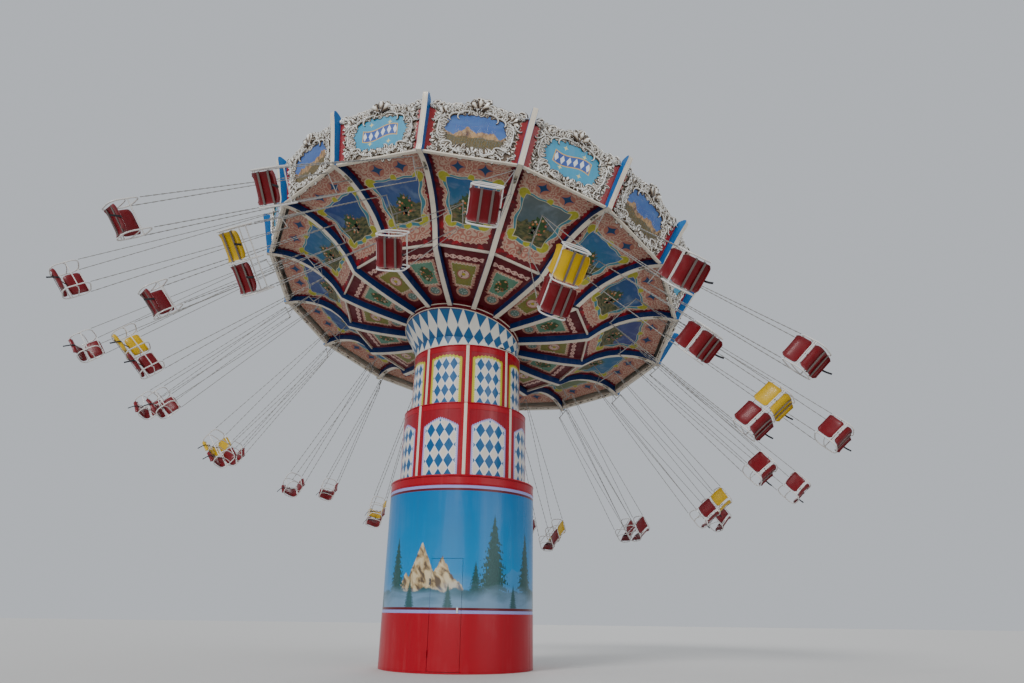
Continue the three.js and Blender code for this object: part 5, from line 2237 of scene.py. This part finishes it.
@dataclass
class Gondola:
    """One gondola: eye, hanger, chains, tube frame and one or two seats of two shells each.

    Foot and head are the frame's ends below and above the seat's middle. The knots of back and pan
    are depth, with the front positive, and height over the same point.
    """

    joint: dict[str, Any]
    ring: Ring
    seating: Seating
    foot: float = -0.215
    head: float = 0.232
    deep: float = 0.19
    eye_radius: float = 0.027
    rod_radius: float = 0.0115
    bar_radius: float = 0.0095
    brace_radius: float = 0.004
    rest_radius: float = 0.0085
    links: int = 58
    link_half: float = 0.0105
    link_thin: float = 0.55
    link_pinch: float = 0.8
    web_half: float = 0.003
    band_half: float = 0.015
    belt_half: float = 0.014
    shell_thick: float = 0.014
    back: Knots = ((-0.172, -0.06), (-0.166, 0.04), (-0.172, 0.14), (-0.196, 0.235))
    pan: Knots = ((0.205, -0.205), (0.165, -0.165), (0.06, -0.172), (-0.06, -0.186), (-0.135, -0.168),
                  (-0.166, -0.105))

    def __post_init__(self) -> None:
        """Works out the gondola's own frame from its joint and the crown's axis."""
        axis = CrownPlace.joint("crown_spin", "axis")
        self.eye = np.array(self.joint["pos_m"])
        self.swing = -math.radians(self.joint["range_deg"][0])
        facing = -np.array(self.joint["axis"])
        along = np.cross(facing, axis)
        chain = -math.sin(self.swing) * along + math.cos(self.swing) * axis
        self.matrix = np.stack([np.cross(facing, chain), facing, chain], 1)
        self.length, self.rod = self.ring.value.length, self.ring.value.rod
        self.half, self.bar = self.seating.value.half, self.seating.value.bar
        self.low, self.high = -self.length + self.foot, -self.length + self.head

    def world(self, local: Array) -> Array:
        """Takes points of the gondola's frame to the world."""
        return self.eye + np.asarray(local, float) @ self.matrix.T

    def tube(self, piece: Piece, path: Array, radius: float, coat: int, up: Array, sides: int = 7,
             closed: bool = False) -> None:
        """Adds a round tube along a path.

        Args:
            piece: Receives the tube.
            path: Points (k, 3) in the gondola's frame.
            radius: Radius of the tube.
            coat: Number of its finish.
            up: Reference direction that the path never follows.
            sides: Corners of its section.
            closed: The path runs back to its start.
        """
        section = ring_section(radius, sides)
        sections = sweep(np.asarray(path, float), section, np.asarray(up, float), closed=closed)
        if closed:
            piece.grid(self.world(sections), coat, wrap_u=True, wrap_v=True)
        else:
            piece.loft(self.world(sections), coat)

    def hanger(self, piece: Piece) -> None:
        """Eye, rod and spreader bar with its end plates.

        Args:
            piece: Receives the surface.
        """
        turn = np.linspace(0, FULL_TURN, 14, endpoint=False) + self.swing
        outline = np.stack([self.eye_radius * np.sin(turn), 0 * turn, self.eye_radius * np.cos(turn)], -1)
        wide = np.array([-0.0245, -0.022, 0.022, 0.0245])
        eye = outline * np.array([0.88, 1, 1, 0.88])[:, None, None] + wide[:, None, None] * [0, 1, 0]
        piece.loft(self.world(eye), CHAIN)
        rod = [[0, 0, -0.01], [0, 0, -self.rod * 0.5], [0, 0, -self.rod]]
        self.tube(piece, rod, self.rod_radius, CHAIN, [0, 1, 0], 8)
        end = self.bar + 0.012
        bar = [[-end, 0, -self.rod], [0, 0, -self.rod], [end, 0, -self.rod]]
        self.tube(piece, bar, self.bar_radius, CHAIN, [0, 0, 1], 8)
        brace = np.array([[[0, 0, -self.rod + 0.16], [sx * self.bar * 0.8, 0, -self.rod]] for sx in (-1, 1)])
        piece.loft(self.world(sweep(brace, ring_section(self.brace_radius, 6), np.array([0, 1.0, 0]))), CHAIN)
        plate = np.array([[0, -0.02, -0.035], [0, 0.02, -0.035], [0, 0.012, 0.02], [0, -0.012, 0.02]])
        shift = np.array([[[sx * self.bar + dx, 0, -self.rod] for dx in (-0.004, 0.004)] for sx in (-1, 1)])
        piece.loft(self.world(plate + shift[:, :, None]), CHAIN)

    def chains(self, piece: Piece) -> None:
        """Four chains; links stand and lie by turns, so the section's two half widths trade places.

        Args:
            piece: Receives the surface.
        """
        top, high = -self.rod - 0.028, self.high
        ends = np.array([[[sx * self.bar, sy * 0.012, top], [sx * self.half, sy * 0.17, high]]
                         for sx in (-1, 1) for sy in (-1, 1)])
        phase = np.arange(self.links * 2 + 1)
        t = np.linspace(0, 1, len(phase))[:, None]
        path = ends[:, None, 0] * (1 - t) + ends[:, None, 1] * t
        flat = np.where(phase % 4 < 2, 1.0, self.link_thin)
        thin = np.where(phase % 4 < 2, self.link_thin, 1.0)
        pinch = np.where(phase % 2 == 0, self.link_pinch, 1.0)
        base = np.array([[1.0, 0], [0, 1.0], [-1.0, 0], [0, -1.0]]) * self.link_half
        section = base * np.stack([flat * pinch, thin * pinch], -1)[:, None]
        piece.loft(self.world(sweep(path, section, np.array([0, 1.0, 0]))), CHAIN)

    def cage(self, piece: Piece) -> None:
        """White tube frame: rounded side hoops, cross tubes, arm rests and the front bar.

        Args:
            piece: Receives the surface.
        """
        deep = self.deep
        loop = rounded_loop((deep, (self.high - self.low) / 2), 0.125, 7)
        sides = [-self.half, self.half] + ([0.0] if self.seating is Seating.DOUBLE else [])
        middle = (self.high + self.low) / 2
        for x in sides:
            path = np.stack([np.full(len(loop), x), loop[:, 0], loop[:, 1] + middle], -1)
            self.tube(piece, path, self.rod_radius, FRAME, [1, 0, 0], 7, closed=True)
            rest = np.array([[x, -deep, middle + 0.02], [x, -0.06, middle + 0.035], [x, 0.1, middle + 0.03],
                             [x, deep, middle - 0.02]])
            arm = smooth_curve(rest, np.linspace(0, 1, 7))
            self.tube(piece, arm, self.rest_radius, FRAME, [1, 0, 0], 6)
        half, base = self.half, -self.length
        rails = ((-deep, base - 0.098), (-deep, base - 0.062), (deep, base + 0.03), (-0.13, self.high - 0.02))
        for y, z in rails:
            self.tube(piece, [[-half, y, z], [0, y, z], [half, y, z]], self.bar_radius, FRAME, [0, 0, 1], 6)

    def panel(self, piece: Piece, knots: Knots, centre: float, width: float, coat: int) -> None:
        """Adds one moulded shell with round corners and a rolled rim.

        The mid line runs through the knots. Its half width at u is width (1 - |2u - 1|**7)**(1/7) over
        a small floor, so its corners are round; a point at v is lifted by 0.022 (|v|**6 + |2u - 1|**8),
        which rolls the rim towards the rider. The rear face lies 14 mm behind.

        Args:
            piece: Receives the shell.
            knots: Mid line (k, 2) as depth and height.
            centre: Its place across the gondola.
            width: Half its width.
            coat: Number of its finish.
        """
        u = 0.5 - 0.5 * np.cos(np.linspace(0, np.pi, 15))
        profile = smooth_curve(np.asarray(knots) + [0, -self.length], u)
        tangent = unit(np.gradient(profile, axis=0))
        toward = np.stack([-tangent[:, 1], tangent[:, 0]], -1)
        v = np.sin(np.linspace(-np.pi / 2, np.pi / 2, 13))
        end = np.abs(2 * u - 1)
        reach = width * np.maximum(1 - end ** 7, 0.3) ** (1 / 7)
        lift = 0.022 * (np.abs(v) ** 6 + end[:, None] ** 8)
        x = centre + reach[:, None] * v
        faces = []
        for shift in (0.0, -self.shell_thick):
            sheet = profile[:, None] + toward[:, None] * (lift + shift)[..., None]
            faces.append(np.stack([x, sheet[..., 0], sheet[..., 1]], -1))
        rim = (np.abs(v) ** 10)[None] * 0.5 + end[:, None] ** 12 * 0.5
        for face in faces:
            piece.grid(self.world(face), coat, mark=rim)
        piece.grid(self.world(np.stack([border(face) for face in faces])), coat, wrap_v=True, mark=0.8)

    def seats(self, piece: Piece) -> None:
        """Back shell and pan of every seat, with the webbing round the pan and the lap belt.

        Args:
            piece: Receives the surface.
        """
        width = self.seating.value.width
        for centre, coat in self.seating.value.seats:
            self.panel(piece, self.back, centre, width, coat)
            self.panel(piece, self.pan, centre, width, coat)
            self.webbing(piece, centre, width)

    def webbing(self, piece: Piece, centre: float, width: float) -> None:
        """Two flat grey bands under the pan and a dark belt that hangs over its front lip.

        Args:
            piece: Receives the surface.
            centre: The seat's place across.
            width: Half the width of its shells.
        """
        corners = np.array([[-1, -1], [1, -1], [1, 1], [-1, 1]])
        section = corners * [self.web_half, self.band_half]
        bends = ((-width - 0.008, 0.03), (-width, 0.0), (0.0, 0.0), (width, 0.0), (width + 0.008, 0.03))
        for y, z in ((0.1, -0.19), (-0.04, -0.204)):
            path = np.array([[centre + dx, y, z - self.length + dz] for dx, dz in bends])
            piece.loft(self.world(sweep(path, section, np.array([0, 1.0, 0]))), BAND)
        belt = np.array([[centre, -0.15, -0.05], [centre + 0.02, -0.02, -0.12], [centre, 0.12, -0.14],
                         [centre - 0.01, 0.2, -0.17], [centre, 0.235, -0.25], [centre + 0.02, 0.25, -0.34]])
        path = smooth_curve(belt + [0, 0, -self.length], np.linspace(0, 1, 14))
        strap = corners * [self.web_half, self.belt_half]
        piece.loft(self.world(sweep(path, strap, np.array([1.0, 0, 0]))), BELT)

    def build(self) -> None:
        """Builds the gondola as one piece."""
        node = self.joint["child"]
        piece = Piece(f"{node}_dressed", node, TUBE_COAT, CHAIN_COAT, RED_SHELL, YELLOW_SHELL, STRAP_COAT,
                      BAND_COAT)
        self.hanger(piece)
        self.chains(piece)
        self.cage(piece)
        self.seats(piece)
        slot = "yellow_seat" if self.seating is Seating.DOUBLE else "red_seat"
        piece.build([node], slot, crease=42)


@dataclass
class HiddenSteel:
    """CAD pieces whose shape is right and that only need their finish."""

    coats: dict[str, Finish] = field(default_factory=lambda: {
        "base_floor": STEEL_COAT, "base_mast": STEEL_COAT, "middle_mast": STEEL_COAT,
        "upper_mast": STEEL_COAT, "tilt_tube": STEEL_COAT, "crown_hub": DARK_RED_COAT,
        "crown_roof": ROOF_COAT})

    def build(self) -> None:
        """Gives each node its material."""
        for node, finish in self.coats.items():
            shown = frame["nodes"][node]
            shown.data.materials.clear()
            shown.data.materials.append(finish.material())
            LOG.info("%s: kept, %s", node, finish.name)


@dataclass
class RoofSeams:
    """Standing seams along the roof's sixteen hips and mid-bays, and a cap at its middle.

    Rim, crown and lid are radius and height in the crown's frame; the section is a seam's own.
    """

    place: CrownPlace
    rim: tuple[float, float] = (4.75, 0.45)
    crown: tuple[float, float] = (0.76, 0.735)
    section: Knots = ((-0.014, -0.01), (-0.01, 0.016), (0.0, 0.022), (0.01, 0.016), (0.014, -0.01))
    lid: Knots = ((0.001, 0.735), (0.5, 0.735), (0.52, 0.745), (0.5, 0.77), (0.25, 0.8), (0.001, 0.806))

    def build(self) -> None:
        """Seams are small rounded bars down the slope; the cap is a low turned disc."""
        piece = Piece("roof_seams", "crown", ROOF_COAT)
        k = np.arange(2 * BAYS) / 2
        shrink = np.where(np.arange(2 * BAYS) % 2 == 0, 1.0, COS_BAY)
        angle = self.place.rib_angle(k)
        t = np.linspace(0, 1, 5)
        radius = self.crown[0] + (self.rim[0] - self.crown[0]) * t
        height = self.crown[1] + (self.rim[1] - self.crown[1]) * t
        path = polar(radius * shrink[:, None], angle[:, None], height)
        piece.loft(self.place.world(sweep(path, np.array(self.section), np.array([0, 0, 1.0]))), 0)
        turn = np.linspace(0, FULL_TURN, 49)[:-1]
        lid = np.array(self.lid)
        points = polar(lid[:, 0], turn[:, None], lid[:, 1])
        piece.grid(self.place.world(points), 0, wrap_u=True, wrap_v=True)
        piece.build((), "roof_grey")


@dataclass(frozen=True)
class Sun:
    """A wide soft sun: the spot that it shines from, its angle across and its strength."""

    name: str
    spot: Spot
    angle: float
    strength: float


@dataclass
class Studio:
    """Pale floor, soft lights and the photograph's camera."""

    floor_half: float = 60.0
    floor_depth: float = 0.002
    sky: tuple[float, float, float, float] = (0.88, 0.93, 1.0, 1.0)
    sky_strength: float = 0.62
    aim: Spot = (0.0, 0.0, 5.5)
    suns: tuple[Sun, ...] = (
        Sun("key", (-14.0, -16.0, 20.0), 0.35, 2.0), Sun("fill", (15.0, -15.0, 9.0), 0.6, 0.7),
        Sun("front", (-4.0, -20.0, 1.8), 0.8, 1.35), Sun("back", (4.0, 18.0, 17.0), 0.5, 0.55))
    eye: Spot = (0.0, -14.975, 1.003)
    lens: float = 24.5
    sensor: float = 36.0
    farthest: float = 400.0
    pitch: float = math.radians(21.33)
    yaw: float = math.radians(3.847)
    roll: float = math.radians(0.786)

    def build_floor(self) -> None:
        """A wide plain floor a hair under the ride."""
        mesh = bpy.data.meshes.new("studio_floor")
        half, height = self.floor_half, -self.floor_depth
        mesh.from_pydata([(-half, -half, height), (half, -half, height), (half, half, height),
                          (-half, half, height)], [], [(0, 1, 2, 3)])
        floor = bpy.data.objects.new("studio_floor", mesh)
        bpy.context.scene.collection.objects.link(floor)
        mesh.materials.append(FLOOR_COAT.material())

    def build_sky(self) -> None:
        """An even pale sky."""
        world = bpy.data.worlds.new("soft studio")
        world.use_nodes = True
        background = world.node_tree.nodes["Background"]
        background.inputs["Color"].default_value = self.sky
        background.inputs["Strength"].default_value = self.sky_strength
        bpy.context.scene.world = world

    def light(self, sun: Sun) -> None:
        """Adds a sun that shines towards the crown.

        Args:
            sun: Where it stands and how it shines.
        """
        data = bpy.data.lights.new(sun.name, "SUN")
        data.angle = sun.angle
        data.energy = sun.strength
        lamp = bpy.data.objects.new(sun.name, data)
        lamp.location = sun.spot
        lamp.rotation_mode = "QUATERNION"
        lamp.rotation_quaternion = (Vector(self.aim) - Vector(sun.spot)).to_track_quat("-Z", "Y")
        bpy.context.scene.collection.objects.link(lamp)

    def build_camera(self) -> None:
        """Camera from its yaw, pitch and roll about its own axis."""
        level = math.cos(self.pitch)
        forward = Vector((math.sin(self.yaw) * level, math.cos(self.yaw) * level, math.sin(self.pitch)))
        right = Vector((math.cos(self.yaw), -math.sin(self.yaw), 0.0))
        up = right.cross(forward)
        right, up = (right * math.cos(self.roll) + up * math.sin(self.roll),
                     up * math.cos(self.roll) - right * math.sin(self.roll))
        data = bpy.data.cameras.new("camera")
        data.lens = self.lens
        data.sensor_width = self.sensor
        data.clip_end = self.farthest
        camera = bpy.data.objects.new("camera", data)
        turned = Matrix((right, up, -forward)).transposed().to_4x4()
        camera.matrix_world = Matrix.Translation(self.eye) @ turned
        bpy.context.scene.collection.objects.link(camera)
        bpy.context.scene.camera = camera

    def build(self) -> None:
        """Builds floor, sky, lights and camera."""
        self.build_floor()
        self.build_sky()
        for sun in self.suns:
            self.light(sun)
        self.build_camera()


def main() -> None:
    """Builds the ride piece by piece, in order."""
    logging.basicConfig(level=logging.INFO, format="%(name)s: %(message)s")
    place = CrownPlace()
    Studio().build()
    BaseDrum().build()
    LiftingDrum("middle", 1.315, 3.25, 4.85, 5.0, MIDDLE_COAT).build()
    LiftingDrum("upper", 1.175, 4.6, 6.15, 6.3, UPPER_COAT).build()
    Collar(place).build()
    CrownRibs(place).build()
    Ceilings(place).build()
    Fascia(place).build()
    RoofSeams(place).build()
    HiddenSteel().build()
    for joint in frame["joints"]:
        node = joint["child"]
        if node.startswith("gondola_"):
            ring = Ring.INNER if "_inner_" in node else Ring.OUTER
            double = ring is Ring.INNER and int(node[-2:]) % 2 == 0
            Gondola(joint, ring, Seating.DOUBLE if double else Seating.SINGLE).build()


if __name__ == "__main__":
    main()
